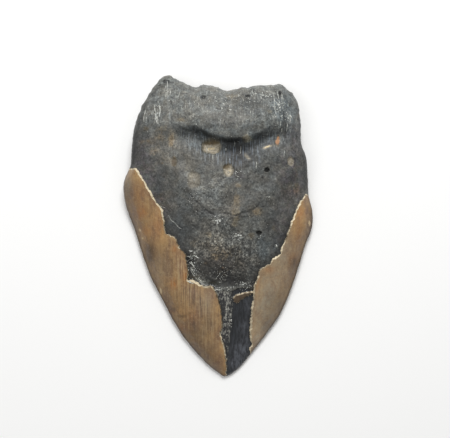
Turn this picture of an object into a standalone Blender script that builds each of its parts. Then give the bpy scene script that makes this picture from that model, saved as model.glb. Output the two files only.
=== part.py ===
"""Fossil megalodon tooth, lying on its flat labial face with the domed lingual face up.

The tooth is one solid. Its crown is a broad blade with worn cutting edges, its root is blunt and
lumpy. The enamel has broken away from the middle of the crown: a brown band is left along each
side, with a crisp step down to the dark dentine, and a narrow bare strip runs down to the tip.
The tip points towards -Y and the root towards +Y. Every length is in millimetres.
"""

import math

import bpy
import numpy as np
from mathutils import Vector, noise
from mathutils.geometry import delaunay_2d_cdt

MM = 0.001

# ---- Driving dimensions ------------------------------------------------------------------------

TOP_SPACING = 2.2  # between the points of the lingual face
BASE_SPACING = 3.3  # between the points of the labial face
OUTLINE_SPACING = 2.0
BREAK_SPACING = 1.7  # along the broken edges

CROWN_TOP = 10.0  # below this Y, on the middle line, the sides are cutting edges
ROOT_FOOT = 30.0  # above this Y they are fully blunt
ROOT_TILT = 0.12  # the root comes lower on the right side than on the left
ROOT_ROUNDING = 7.0  # how far in from its blunt sides the root keeps rising
BLADE_ROUNDING = 0.9  # the same on the cutting edges
BLADE_FULLNESS = 2.3  # the power of the cross-section: 2 is a plain arch, and more is fuller
BASE_LIFT_WIDTH = 12.0  # how far in from the outline the labial face leaves the flat

ENAMEL_THICKNESS = 1.2
ENAMEL_SETTLE = 5.0  # how far in from the outline the enamel reaches its full thickness
BREAK_WIDTH = 0.45  # how far the broken face of the enamel runs outwards as it drops
BULGE_HEIGHT = 4.4  # the swelling of the root above the hollow under it
BULGE_SHOULDER = 8.0  # how far above its lip the bulge starts to sink again
BULGE_LENGTH = 27.0  # and how far above the lip it ends
HOLLOW_DEPTH = 2.3
HOLLOW_MIDDLE = 5.0  # how far below the lip the hollow is deepest
HOLLOW_HALF_WIDTH = 4.6
STRIP_DEPTH = 0.5  # the bare strip below the dentine beside it
STRIP_RIDGE_HEIGHT = 0.45  # the left half of the strip above the smooth right half
CHIP_HEIGHT = 0.7  # the sliver of enamel left across the top of the strip
FOLD_HEIGHT = 0.9
FOLD_HALF_WIDTH = 3.6
DIP_DEPTH = 0.9  # the dip of the dentine above the strip and the left band's shelf
DIP_MIDDLE = -25.5
DIP_HALF_WIDTH = 3.2
SHELF_GROOVE = 0.8  # the glassy groove between the dentine and the left band's shelf
SHELF_GROOVE_OFFSET = 1.8
SHELF_GROOVE_HALF_WIDTH = 1.4
# Random waves: size of a wave, height, place in the random pattern.
DENTINE_LUMPS = [(9.0, 0.55, 1.7), (4.5, 0.35, 5.2)]
ROOT_KNOBS = [(7.0, 1.1, 9.1), (4.5, 0.8, 3.3)]

# Height along the middle of the lingual face, from the tip to the top of the root.
CENTRE_HEIGHT = [
    (-70.5, 1.9), (-64, 4.6), (-50, 8.0), (-35, 11.0), (-28, 12.2), (-20, 14.9), (-5, 18.6),
    (12, 20.6), (34, 20.8), (46, 20.6), (56, 19.0), (63, 16.5), (70, 13.5),
]
# Height of the outline above the ground.
EDGE_HEIGHT = [(-70.5, 1.4), (-55, 2.2), (-20, 3.0), (12, 3.8), (30, 7.0), (45, 8.5), (70, 8.0)]
# How much of the height is lost between the middle and the sides, as a share.
SIDE_DROP = [(-70.5, 0.9), (-55, 1.0), (5, 1.0), (20, 0.82), (35, 0.6), (70, 0.5)]

# The outline, from the tip up the right side, over the top of the root and down the left side.
CROWN_RIGHT = [
    (3.5, -70.5), (7.9, -68.1), (11.8, -64.2), (19.2, -55.0), (28.0, -43.0), (34.1, -30.0),
    (38.1, -18.5), (41.3, -8.2), (43.6, -2.8), (44.5, 2.0), (44.2, 8.0), (42.6, 14.2),
]
ROOT_RIGHT = [
    (42.1, 22.4), (41.2, 31.5), (38.8, 39.0), (38.5, 51.0), (36.0, 60.0), (31.5, 64.6),
    (29.6, 66.0),
]
ROOT_TOP = [
    (24.3, 65.9), (16.3, 65.2), (13.9, 64.1), (11.6, 64.6), (7.5, 63.4), (4.4, 62.7), (0.4, 64.4),
    (-5.0, 65.6), (-7.8, 65.7), (-9.6, 64.5), (-11.9, 64.7), (-16.8, 67.4), (-20.4, 69.0),
    (-21.8, 70.2), (-23.6, 70.5), (-26.0, 69.6), (-28.0, 67.8),
]
ROOT_LEFT = [(-31.8, 63.0), (-36.2, 54.5), (-39.0, 46.0), (-40.4, 36.0), (-40.9, 28.6)]
CROWN_LEFT = [
    (-42.3, 25.2), (-44.2, 20.8), (-44.5, 15.5), (-43.0, 8.0), (-39.0, -2.6), (-36.0, -12.0),
    (-31.6, -24.0), (-25.4, -36.0), (-17.4, -50.3), (-7.2, -62.6), (0.6, -69.3),
]

# The broken inner edges of the two enamel bands, from the root end to the tip.
LEFT_BREAK = [
    (-41.2, 25.6), (-38.6, 25.1), (-36.5, 22.4), (-32.3, 15.9), (-30.0, 11.7), (-28.6, 9.4),
    (-26.7, 7.1), (-25.4, 2.9), (-24.5, -3.6), (-22.7, -5.4), (-19.7, -6.8), (-18.1, -10.9),
    (-15.8, -13.4), (-14.5, -17.4), (-14.1, -23.3), (-14.4, -26.0), (-10.9, -27.0), (-8.2, -28.4),
    (-5.4, -29.3), (-2.6, -29.5), (-1.0, -32.4), (0.9, -38.6), (1.5, -44.0), (1.4, -48.0),
    (0.7, -50.7), (2.4, -56.6), (3.2, -62.0), (3.7, -67.6),
]
RIGHT_BREAK = [
    (41.4, 13.9), (39.6, 11.2), (36.4, 5.6), (34.2, -0.2), (30.6, -9.2), (29.2, -13.8),
    (27.0, -15.9), (25.4, -16.4), (24.2, -18.4), (20.2, -21.1), (18.4, -25.0), (17.2, -28.6),
    (16.8, -36.0), (15.9, -40.6), (15.6, -49.0), (15.4, -52.2), (16.2, -55.4), (15.2, -58.3),
]
# Corners far outside the tooth that close each band's region round its outer side.
LEFT_OUTSIDE = [(3.7, -90.0), (-90.0, -90.0), (-90.0, 25.6)]
RIGHT_OUTSIDE = [(15.2, -70.0), (90.0, -70.0), (90.0, 13.9)]

# The lower lip of the bulge, from left to right, and how sharply it stands along its length.
LIP = [
    (-46, 41.5), (-35, 42.5), (-17, 44.1), (-12, 44.0), (-7.5, 42.0), (-3, 39.6), (2.4, 38.3),
    (7.8, 38.0), (12.3, 38.5), (16.8, 40.0), (20.4, 42.0), (24, 44.2), (30, 45.7), (46, 46.6),
]
LIP_SHARPNESS = [(-46, 0.0), (-24, 0.12), (-13, 0.75), (-5, 1.0), (16, 1.0), (24, 0.6), (46, 0.12)]

# The foot of the dentine, where it drops into the bare strip.
STRIP_TOP = [(-2.4, -30.4), (2.0, -30.1), (5.4, -30.6), (9.0, -29.0), (13.0, -28.6), (16.4, -29.4)]
STRIP_RIDGE = [(6.9, -31.6), (6.6, -40.0), (5.8, -48.0), (4.9, -57.0), (4.3, -66.0)]
CHIP = [(8.2, -34.0), (9.4, -33.0), (12.1, -32.2), (15.8, -31.4)]
# The low fold across the dentine, like a wide V.
FOLD = [(-21, 27.0), (-17, 21.0), (-11.3, 9.6), (-6, 4.4), (0.5, 1.4), (7.7, 3.0), (15, 8.3), (24, 15)]

# Pits: middle, half length along X, half length along Y, depth.
PITS = [
    ((-2.8, 34.8), 5.0, 3.4, 1.7),
    ((4.8, 24.0), 2.6, 3.2, 1.0),
    ((-10.7, 19.6), 3.4, 4.3, 0.5),
    ((22.4, 24.5), 1.3, 1.0, 1.1),
    ((18.8, -4.2), 1.6, 0.9, 1.1),
    ((33.5, 28.8), 1.7, 2.4, 0.6),
    ((-20.3, 28.2), 1.9, 2.3, 0.5),
    ((-24.4, 66.7), 2.0, 0.9, 1.2),
    ((-27.1, 65.0), 0.9, 0.7, 0.7),
    ((-6.6, 57.6), 1.5, 0.9, 0.7),
    ((13.6, 58.6), 1.4, 0.8, 0.6),
    ((28.6, 60.6), 0.9, 1.3, 0.6),
]

# The enamel on the labial face reaches up to an arch, lower at the sides than in the middle.
BASE_ARCH = [(-43.2, 22.0), (-32, 27.5), (-16, 31.5), (0, 33.0), (16, 30.5), (30, 24.5), (42.4, 13.5)]
BASE_ROOT_SET_BACK = 0.5  # the root lies this far above the flat enamel of the labial face
BASE_CRACKS = [
    [(-14, 24), (-12.5, 8), (-9, -10), (-6, -28)],
    [(17, 20), (15, 4), (12.5, -14)],
]
BASE_CRACK_DEPTH = 0.6


# ---- Lines and regions of the plan -------------------------------------------------------------


def curve_through(points, spacing, closed=False):
    """Points about spacing apart along a smooth curve through the given ones."""
    points = np.array(points, float)
    count = len(points)
    spans = count if closed else count - 1
    fine = []
    for i in range(spans):
        if closed:
            a, b, c, d = (points[(i + k) % count] for k in (-1, 0, 1, 2))
        else:
            a, b, c, d = (points[min(max(i + k, 0), count - 1)] for k in (-1, 0, 1, 2))
        for t in np.linspace(0, 1, 24, endpoint=False):
            fine.append(
                0.5 * (2 * b + (c - a) * t + (2 * a - 5 * b + 4 * c - d) * t**2
                       + (3 * b - a - 3 * c + d) * t**3)
            )
    fine.append(fine[0] if closed else points[-1])
    fine = np.array(fine)
    along = np.concatenate([[0], np.cumsum(np.linalg.norm(np.diff(fine, axis=0), axis=1))])
    steps = max(2, round(along[-1] / spacing))
    at = np.linspace(0, along[-1], steps + 1)
    line = np.stack([np.interp(at, along, fine[:, k]) for k in (0, 1)], axis=1)
    return line[:-1] if closed else line


def profile(knots, at):
    """A smooth curve through the (position, value) knots, read at each position."""
    where, value = np.array(knots, float).T
    slope = np.gradient(value, where)
    i = np.clip(np.searchsorted(where, at) - 1, 0, len(where) - 2)
    width = where[i + 1] - where[i]
    t = np.clip((at - where[i]) / width, 0, 1)
    return (
        value[i] * (1 + 2 * t) * (1 - t) ** 2
        + value[i + 1] * t**2 * (3 - 2 * t)
        + slope[i] * width * t * (1 - t) ** 2
        + slope[i + 1] * width * t**2 * (t - 1)
    )


def fade(low, high, at):
    """0 below low, 1 above high, smooth between."""
    t = np.clip((at - low) / (high - low), 0, 1)
    return t * t * (3 - 2 * t)


def distance_to(line, points, closed=False):
    """Distance from each point to the nearest place on the line."""
    ends = np.roll(line, -1, axis=0) if closed else line[1:]
    starts = line if closed else line[:-1]
    nearest = np.full(len(points), np.inf)
    for start, end in zip(starts, ends):
        run = end - start
        share = np.clip((points - start) @ run / (run @ run), 0, 1)
        nearest = np.minimum(nearest, np.linalg.norm(points - start - share[:, None] * run, axis=1))
    return nearest


def inside(region, points):
    """Whether each point lies in the closed region."""
    within = np.zeros(len(points), bool)
    for (ax, ay), (bx, by) in zip(region, np.roll(region, -1, axis=0)):
        if ay == by:
            continue
        crosses = (points[:, 1] < ay) != (points[:, 1] < by)
        within ^= crosses & (points[:, 0] < ax + (points[:, 1] - ay) / (by - ay) * (bx - ax))
    return within


def beside(line, shift):
    """The line moved sideways by shift, to its left where shift is positive."""
    along = np.gradient(line, axis=0)
    along /= np.linalg.norm(along, axis=1)[:, None]
    return line + shift * np.stack([-along[:, 1], along[:, 0]], axis=1)


def lumps(points, waves):
    """Smooth random lumps: each wave is its size, its height and its place in the pattern."""
    total = np.zeros(len(points))
    for size, height, place in waves:
        total += height * np.array([noise.noise(Vector((x / size, y / size, place))) for x, y in points])
    return total


def ridge(away, half_width):
    """1 where away is 0, falling smoothly to nothing on both sides."""
    return np.exp(-((away / half_width) ** 2))


OUTLINE = curve_through(
    CROWN_RIGHT + ROOT_RIGHT + ROOT_TOP + ROOT_LEFT + CROWN_LEFT, OUTLINE_SPACING, closed=True
)
LEFT_EDGE = curve_through(LEFT_BREAK, BREAK_SPACING)
RIGHT_EDGE = curve_through(RIGHT_BREAK, BREAK_SPACING)
LEFT_BAND = np.concatenate([LEFT_EDGE, LEFT_OUTSIDE])
RIGHT_BAND = np.concatenate([RIGHT_EDGE, RIGHT_OUTSIDE])
RIGHT_SIDE = curve_through(CROWN_RIGHT + ROOT_RIGHT, 1.0)
LEFT_SIDE = curve_through(ROOT_LEFT + CROWN_LEFT, 1.0)[::-1]


# ---- Heights -----------------------------------------------------------------------------------


def rise(share):
    """Quarter round: steep at the outline and level at the end."""
    return np.sqrt(1 - (1 - np.clip(share, 0, 1)) ** 2)


def rootness(points):
    """0 on the blade of the crown and 1 on the blunt root."""
    x, y = points.T
    return fade(CROWN_TOP, ROOT_FOOT, y + ROOT_TILT * x)


def enamel_left(points):
    """How much of the enamel's thickness is left: 1 on the bands, 0 past their broken faces."""
    cover = np.zeros(len(points))
    for edge, band in ((LEFT_EDGE, LEFT_BAND), (RIGHT_EDGE, RIGHT_BAND)):
        away = distance_to(edge, points)
        away[inside(band, points)] = 0
        cover = np.maximum(cover, 1 - np.clip(away / BREAK_WIDTH, 0, 1))
    return cover


def bulge(points):
    """The swelling of the root, its sharp lower lip and the hollow under the lip."""
    x, y = points.T
    above = y - profile(LIP, x)
    sharp = np.clip(profile(LIP_SHARPNESS, x), 0, 1)
    drop = fade(-9 + 6.8 * sharp, 0.8, above)
    shoulder = (0.78 + 0.22 * fade(0, 6, above)) * (1 - fade(BULGE_SHOULDER, BULGE_LENGTH, above))
    swelling = BULGE_HEIGHT * (0.35 + 0.65 * sharp) * drop * shoulder
    hollow = HOLLOW_DEPTH * (0.25 + 0.75 * sharp) * ridge(above + HOLLOW_MIDDLE, HOLLOW_HALF_WIDTH)
    return swelling - hollow


def strip(points):
    """The bare strip to the tip, with a smoother and deeper right half."""
    x, y = points.T
    below_top = fade(0, 1.2, profile(STRIP_TOP, x) - y)
    ridge_x = np.interp(y, *np.array(STRIP_RIDGE[::-1])[:, ::-1].T)
    chip = CHIP_HEIGHT * (1 - fade(0.5, 1.3, distance_to(np.array(CHIP), points)))
    return chip - below_top * (STRIP_DEPTH + STRIP_RIDGE_HEIGHT * fade(-0.5, 0.6, x - ridge_x))


def dentine_relief(points):
    """Folds, pits and lumps of the bare dentine and the root."""
    x, y = points.T
    relief = FOLD_HEIGHT * ridge(distance_to(np.array(FOLD), points), FOLD_HALF_WIDTH)
    for (px, py), half_x, half_y, depth in PITS:
        reach = ((x - px) / half_x) ** 2 + ((y - py) / half_y) ** 2
        relief -= depth * (1 - fade(0.25, 1.25, reach))
    across_dip = fade(-16, -10, x) * (1 - fade(12, 19, x))
    relief -= DIP_DEPTH * ridge(y - DIP_MIDDLE, DIP_HALF_WIDTH) * across_dip
    along_shelf = fade(-31, -28, y) * (1 - fade(-17, -12, y))
    from_shelf = distance_to(LEFT_EDGE, points) - SHELF_GROOVE_OFFSET
    relief -= SHELF_GROOVE * ridge(from_shelf, SHELF_GROOVE_HALF_WIDTH) * along_shelf
    return relief + lumps(points, DENTINE_LUMPS) + fade(46, 64, y) * lumps(points, ROOT_KNOBS)


def top_height(points, rim):
    """Height of the lingual face, where rim is the distance to the outline."""
    x, y = points.T
    right = np.interp(y, RIGHT_SIDE[:, 1], RIGHT_SIDE[:, 0])
    left = np.interp(y, LEFT_SIDE[:, 1], LEFT_SIDE[:, 0])
    across = np.abs(2 * x - right - left) / (right - left)
    edge = profile(EDGE_HEIGHT, y)
    centre = profile(CENTRE_HEIGHT, y)
    arch = 1 - np.minimum(profile(SIDE_DROP, y), 1) * np.minimum(across, 1) ** BLADE_FULLNESS
    body = edge + (centre - edge) * arch
    cover = enamel_left(points)
    bare = dentine_relief(points) + strip(points)
    body += fade(0, ENAMEL_SETTLE, rim) * (cover * ENAMEL_THICKNESS + (1 - cover) * bare)
    body += bulge(points) * fade(-2, 14, rim)
    rounding = BLADE_ROUNDING + (ROOT_ROUNDING - BLADE_ROUNDING) * rootness(points)
    return edge + (body - edge) * rise(rim / rounding)


def base_height(points, rim):
    """Height of the labial face: flat on the ground in the middle, lifting towards the outline."""
    x, y = points.T
    root = rootness(points)
    near = 1 - np.clip(rim / BASE_LIFT_WIDTH, 0, 1)
    lift = (1 - root) * near**2 + root * (1 - rise(rim / BASE_LIFT_WIDTH))
    set_back = BASE_ROOT_SET_BACK * fade(0, 0.6, y - profile(BASE_ARCH, x))
    for crack in BASE_CRACKS:
        depth = BASE_CRACK_DEPTH * (1 - np.clip(distance_to(np.array(crack, float), points) / 0.7, 0, 1))
        set_back = np.maximum(set_back, depth)
    return profile(EDGE_HEIGHT, y) * lift + set_back * fade(0, 4, rim)


# ---- The mesh ----------------------------------------------------------------------------------


def hexagonal(spacing):
    """Points in staggered rows over the whole plan."""
    low = OUTLINE.min(axis=0)
    high = OUTLINE.max(axis=0)
    rows = []
    for row, y in enumerate(np.arange(low[1], high[1], spacing * math.sqrt(0.75))):
        x = np.arange(low[0] + (row % 2) * spacing / 2, high[0], spacing)
        rows.append(np.stack([x, np.full(len(x), y)], axis=1))
    return np.concatenate(rows)


def sheet(lines, spacing, steps_in):
    """Plan points and triangles inside the outline, with an edge along each of the lines."""
    rings = [beside(OUTLINE, step) for step in steps_in]
    rings = [ring[distance_to(OUTLINE, ring, closed=True) > 0.9 * step]
             for ring, step in zip(rings, steps_in)]
    lines = [line[distance_to(OUTLINE, line, closed=True) > 0.5] for line in lines]
    grid = hexagonal(spacing)
    grid = grid[inside(OUTLINE, grid)]
    grid = grid[distance_to(OUTLINE, grid, closed=True) > steps_in[-1] + 0.5 * spacing]
    filled = [grid] + rings
    for i, points in enumerate(filled):
        for line in lines:
            points = points[distance_to(line, points) > 0.45 * spacing]
        filled[i] = points
    parts = [OUTLINE] + lines + filled
    count = len(OUTLINE)
    edges = [(i, (i + 1) % count) for i in range(count)]
    for line in lines:
        edges += [(i, i + 1) for i in range(count, count + len(line) - 1)]
        count += len(line)
    corners = [Vector(point) for point in np.concatenate(parts)]
    found, _, faces, origins, _, _ = delaunay_2d_cdt(corners, edges, [], 0, 1e-4)
    points = np.array(found)
    faces = np.array(faces)
    faces = faces[inside(OUTLINE, points[faces].mean(axis=1))]
    first = {origin: i for i, origin_list in enumerate(origins) for origin in origin_list}
    return points, faces, [first[i] for i in range(len(OUTLINE))]


def tooth_mesh():
    """The two faces of the tooth, joined along the outline."""
    top_lines = []
    for edge in (LEFT_EDGE, RIGHT_EDGE):
        side = 1 if edge is LEFT_EDGE else -1
        top_lines += [edge, beside(edge, side * BREAK_WIDTH)]
    lip = curve_through([(x, y) for x, y in LIP if -30 < x < 32], 2.2)
    top_lines += [lip, lip - (0, 2.4)]
    strip_top = curve_through(STRIP_TOP, BREAK_SPACING)[1:-1]
    top_lines += [strip_top, strip_top - (0, 1.2)]
    arch = curve_through(BASE_ARCH, 2.6)
    base_lines = [arch, arch + (0, 0.6)]
    top, top_faces, top_rim = sheet(top_lines, TOP_SPACING, (0.5, 2.0, 4.2))
    base, base_faces, base_rim = sheet(base_lines, BASE_SPACING, (1.0, 3.4))

    top_z = top_height(top, distance_to(OUTLINE, top, closed=True))
    base_z = base_height(base, distance_to(OUTLINE, base, closed=True))
    corners = np.concatenate([np.column_stack([top, top_z]), np.column_stack([base, base_z])])
    corners[top_rim, 2] = profile(EDGE_HEIGHT, top[top_rim, 1])

    renumber = np.arange(len(base)) + len(top)
    renumber[base_rim] = top_rim
    faces = np.concatenate([top_faces, renumber[base_faces][:, ::-1]])
    used, faces = np.unique(faces, return_inverse=True)
    mesh = bpy.data.meshes.new("tooth")
    mesh.from_pydata((corners[used] * MM).tolist(), [], faces.reshape(-1, 3).tolist())
    mesh.validate()
    return mesh


def fossil_material():
    """Dull mineral, dark grey-brown."""
    material = bpy.data.materials.new("fossil tooth")
    material.use_nodes = True
    surface = material.node_tree.nodes["Principled BSDF"]
    surface.inputs["Base Color"].default_value = (0.17, 0.13, 0.09, 1)
    surface.inputs["Roughness"].default_value = 0.5
    surface.inputs["Metallic"].default_value = 0
    return material


for old in list(bpy.data.objects):
    bpy.data.objects.remove(old)
tooth = bpy.data.objects.new("tooth", tooth_mesh())
tooth.data.materials.append(fossil_material())
bpy.context.scene.collection.objects.link(tooth)
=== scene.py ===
"""Fossil megalodon tooth, lying on its flat labial face: the finish of the part, on its frame."""

import math

import bpy
import numpy as np
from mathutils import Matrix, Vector, noise
from mathutils.geometry import delaunay_2d_cdt


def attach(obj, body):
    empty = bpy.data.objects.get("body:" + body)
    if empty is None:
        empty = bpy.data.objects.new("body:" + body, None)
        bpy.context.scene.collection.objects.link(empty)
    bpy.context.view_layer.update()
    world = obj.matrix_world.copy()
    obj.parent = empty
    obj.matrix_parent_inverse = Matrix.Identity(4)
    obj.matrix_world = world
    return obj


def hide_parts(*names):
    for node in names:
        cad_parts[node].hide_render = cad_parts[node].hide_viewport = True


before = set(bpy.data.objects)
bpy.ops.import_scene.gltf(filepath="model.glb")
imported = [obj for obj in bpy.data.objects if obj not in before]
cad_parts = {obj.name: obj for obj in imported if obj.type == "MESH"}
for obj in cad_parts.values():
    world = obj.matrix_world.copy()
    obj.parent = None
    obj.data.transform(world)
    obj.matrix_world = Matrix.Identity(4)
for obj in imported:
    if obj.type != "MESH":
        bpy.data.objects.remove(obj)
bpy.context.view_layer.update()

# ==== The form of the tooth =======================================================================
# One body of dentine that grew as a single blade: a domed lingual face, a flat labial face, cutting
# edges round the crown and a blunt two-lobed root. The outline runs from the tip up the right side.
# All lengths in this file are millimetres, until a mesh or a light is made.

MM = 0.001

CROWN_RIGHT = [
    (3.5, -70.5), (7.9, -68.1), (11.8, -64.2), (19.2, -55), (28, -43), (34.1, -30), (38.1, -18.5),
    (41.3, -8.2), (43.6, -2.8), (44.5, 2), (44.2, 8), (42.6, 14.2),
]
ROOT_RIGHT = [(42.1, 22.4), (41.2, 31.5), (38.8, 39), (38.5, 51), (36, 60), (31.5, 64.6), (29.6, 66)]
ROOT_TOP = [
    (24.3, 65.9), (16.3, 65.2), (13.9, 64.1), (11.6, 64.6), (7.5, 63.4), (4.4, 62.7), (0.4, 64.4),
    (-5, 65.6), (-7.8, 65.7), (-9.6, 64.5), (-11.9, 64.7), (-16.8, 67.4), (-20.4, 69), (-21.8, 70.2),
    (-23.6, 70.5), (-26, 69.6), (-28, 67.8),
]
ROOT_LEFT = [(-31.8, 63), (-36.2, 54.5), (-39, 46), (-40.4, 36), (-40.9, 28.6)]
CROWN_LEFT = [
    (-42.3, 25.2), (-44.2, 20.8), (-44.5, 15.5), (-43, 8), (-39, -2.6), (-36, -12), (-31.6, -24),
    (-25.4, -36), (-17.4, -50.3), (-7.2, -62.6), (0.6, -69.3),
]
# From tip to root: the height along the middle, the height of the edges, and the share of their
# difference that the arch has lost where it meets the edges.
CENTRE_HEIGHT = [
    (-70.5, 1.9), (-64, 4.6), (-50, 8), (-35, 11), (-28, 12.2), (-20, 14.9), (-5, 18.6), (12, 20.6),
    (34, 20.8), (46, 20.6), (56, 19), (63, 16.5), (70, 13.5),
]
EDGE_HEIGHT = [(-70.5, 1.4), (-55, 2.2), (-20, 3), (12, 3.8), (30, 7), (45, 8.5), (70, 8)]
SIDE_DROP = [(-70.5, 0.9), (-55, 1), (5, 1), (20, 0.82), (35, 0.6), (70, 0.5)]
CROWN_TOP = 10
ROOT_FOOT = 30
ROOT_TILT = 0.12  # the crown ends lower on the right
ROOT_ROUNDING = 7
BLADE_ROUNDING = 0.9
BLADE_FULLNESS = 2.3  # 2 is a round arch, more is a flatter one
CURVE_STEPS = 24  # worked out between two given points of a curve
RIM_SPACING = 0.42  # between the points of the outline
# Random waves of the outline: size of a wave, height, place in the random pattern.
NICKS = [(2.6, 0.14, 4.4), (0.9, 0.08, 1.3)]
KNOBS = [(3.1, 0.5, 2.2), (1.5, 0.3, 6.6)]
KNOBS_START = (35, 60)  # where the root's knobs begin and where they are full


def curve_through(points, spacing, closed=False):
    """Points about spacing apart along a smooth curve through the given ones."""
    points = np.array(points, float)
    count = len(points)
    fine = []
    for i in range(count if closed else count - 1):
        if closed:
            a, b, c, d = (points[(i + k) % count] for k in (-1, 0, 1, 2))
        else:
            a, b, c, d = (points[min(max(i + k, 0), count - 1)] for k in (-1, 0, 1, 2))
        for t in np.linspace(0, 1, CURVE_STEPS, endpoint=False):
            fine.append(
                0.5 * (2 * b + (c - a) * t + (2 * a - 5 * b + 4 * c - d) * t**2
                       + (3 * b - a - 3 * c + d) * t**3)
            )
    fine.append(fine[0] if closed else points[-1])
    fine = np.array(fine)
    along = np.concatenate([[0], np.cumsum(np.linalg.norm(np.diff(fine, axis=0), axis=1))])
    at = np.linspace(0, along[-1], max(2, round(along[-1] / spacing)) + 1)
    line = np.stack([np.interp(at, along, fine[:, k]) for k in (0, 1)], axis=1)
    return line[:-1] if closed else line


def profile(knots, at):
    """A smooth curve through the (position, value) knots, read at each position."""
    where, value = np.array(knots, float).T
    slope = np.gradient(value, where)
    i = np.clip(np.searchsorted(where, at) - 1, 0, len(where) - 2)
    width = where[i + 1] - where[i]
    t = np.clip((at - where[i]) / width, 0, 1)
    return (
        value[i] * (1 + 2 * t) * (1 - t) ** 2
        + value[i + 1] * t**2 * (3 - 2 * t)
        + slope[i] * width * t * (1 - t) ** 2
        + slope[i + 1] * width * t**2 * (t - 1)
    )


def fade(low, high, at):
    """0 below low, 1 above high, smooth between."""
    t = np.clip((at - low) / (high - low), 0, 1)
    return t * t * (3 - 2 * t)


def blend(start, end, share):
    """From start, where share is 0, to end, where it is 1."""
    return start + (end - start) * share


def between(stops, at):
    """0 outside the four stops, 1 between the middle two, smooth on the way."""
    start, full, fall, end = stops
    return fade(start, full, at) * (1 - fade(fall, end, at))


def beside(line, shift):
    """The line moved sideways by shift, to its left where shift is positive."""
    along = np.gradient(line, axis=0)
    along /= np.linalg.norm(along, axis=1)[:, None]
    return line + np.reshape(shift, (-1, 1)) * np.stack([-along[:, 1], along[:, 0]], axis=1)


def lumps(points, waves):
    """Smooth random lumps: each wave is its size, its height and its place in the pattern."""
    total = np.zeros(len(points))
    for size, height, place in waves:
        wave = [noise.noise(Vector((x / size, y / size, place))) for x, y in points]
        total += height * np.array(wave)
    return total


outline = CROWN_RIGHT + ROOT_RIGHT + ROOT_TOP + ROOT_LEFT + CROWN_LEFT
outline = curve_through(outline, RIM_SPACING, closed=True)
knobbly = fade(*KNOBS_START, outline[:, 1])
outline = beside(outline, lumps(outline, NICKS) + knobbly * lumps(outline, KNOBS))
coarse_outline = outline[::2]
right_side = curve_through(CROWN_RIGHT + ROOT_RIGHT, 1.0)
left_side = curve_through(ROOT_LEFT + CROWN_LEFT, 1.0)[::-1]


def rootness(points):
    """0 on the blade of the crown and 1 on the blunt root."""
    x, y = points.T
    return fade(CROWN_TOP, ROOT_FOOT, y + ROOT_TILT * x)


def body_height(points):
    """The arch of the lingual face, before any enamel, fold or break."""
    x, y = points.T
    right = np.interp(y, right_side[:, 1], right_side[:, 0])
    left = np.interp(y, left_side[:, 1], left_side[:, 0])
    across = np.abs(2 * x - right - left) / (right - left)
    arch = 1 - np.minimum(profile(SIDE_DROP, y), 1) * np.minimum(across, 1) ** BLADE_FULLNESS
    return blend(profile(EDGE_HEIGHT, y), profile(CENTRE_HEIGHT, y), arch)


# ==== The enamel bands ============================================================================
# Enamel is a hard glassy skin about a millimetre thick. It has flaked off the middle of the crown:
# a brown band is left down each side, with a cream, splintery break along its inner edge.

ENAMEL_THICKNESS = 1.2
ENAMEL_SETTLE = 5  # the width over which it reaches that thickness, from the cutting edge
BREAK_SPACING = 0.45
BREAK_WIDTH = 0.55
BREAK_UNEVENNESS = [(3, 0.6, 2.4), (1.2, 0.28, 6.1)]
SPLINTERS = [(1.1, 0.5, 5.3)]
FAR = 200  # past the end of the tooth in any direction
# Where the broken face is wider: by how much, and the stops of that place along X and along Y.
WIDER_BREAKS = [
    (0.6, (-17, -15, -3, 0), (-33, -31, -26.5, -25)),  # the shelf across the foot of the dentine
    (0.25, (8, 12, FAR - 1, FAR), (-FAR, 1 - FAR, -33, -29)),  # the right side of the bare strip
    (0.3, (-FAR, 1 - FAR, -20, -10), (2, 8, FAR - 1, FAR)),  # the upper part of the left band
    (0.15, (20, 24, FAR - 1, FAR), (-18, -12, FAR - 1, FAR)),  # the upper part of the right band
]
LEFT_BREAK = [
    (-41.2, 25.6), (-38.6, 25.1), (-36.5, 22.4), (-32.3, 15.9), (-30, 11.7), (-28.6, 9.4), (-26.7, 7.1),
    (-25.4, 2.9), (-24.5, -3.6), (-22.7, -5.4), (-19.7, -6.8), (-18.1, -10.9), (-15.8, -13.4),
    (-14.5, -17.4), (-14.1, -23.3), (-14.4, -26), (-10.9, -27), (-8.2, -28.4), (-5.4, -29.3),
    (-2.6, -29.5), (-1, -32.4), (0.9, -38.6), (1.5, -44), (1.4, -48), (0.7, -50.7), (2.4, -56.6),
    (3.2, -62), (3.7, -67.6),
]
RIGHT_BREAK = [
    (41.4, 13.9), (39.6, 11.2), (36.4, 5.6), (34.2, -0.2), (30.6, -9.2), (29.2, -13.8), (27, -15.9),
    (25.4, -16.4), (24.2, -18.4), (20.2, -21.1), (18.4, -25), (17.2, -28.6), (16.8, -36), (15.9, -40.6),
    (15.6, -49), (15.4, -52.2), (16.2, -55.4), (15.2, -58.3),
]
# Corners beyond the outline that close the region of each band.
LEFT_OUTSIDE = [(3.7, -90), (-90, -90), (-90, 25.6)]
RIGHT_OUTSIDE = [(15.2, -70), (90, -70), (90, 13.9)]
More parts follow.
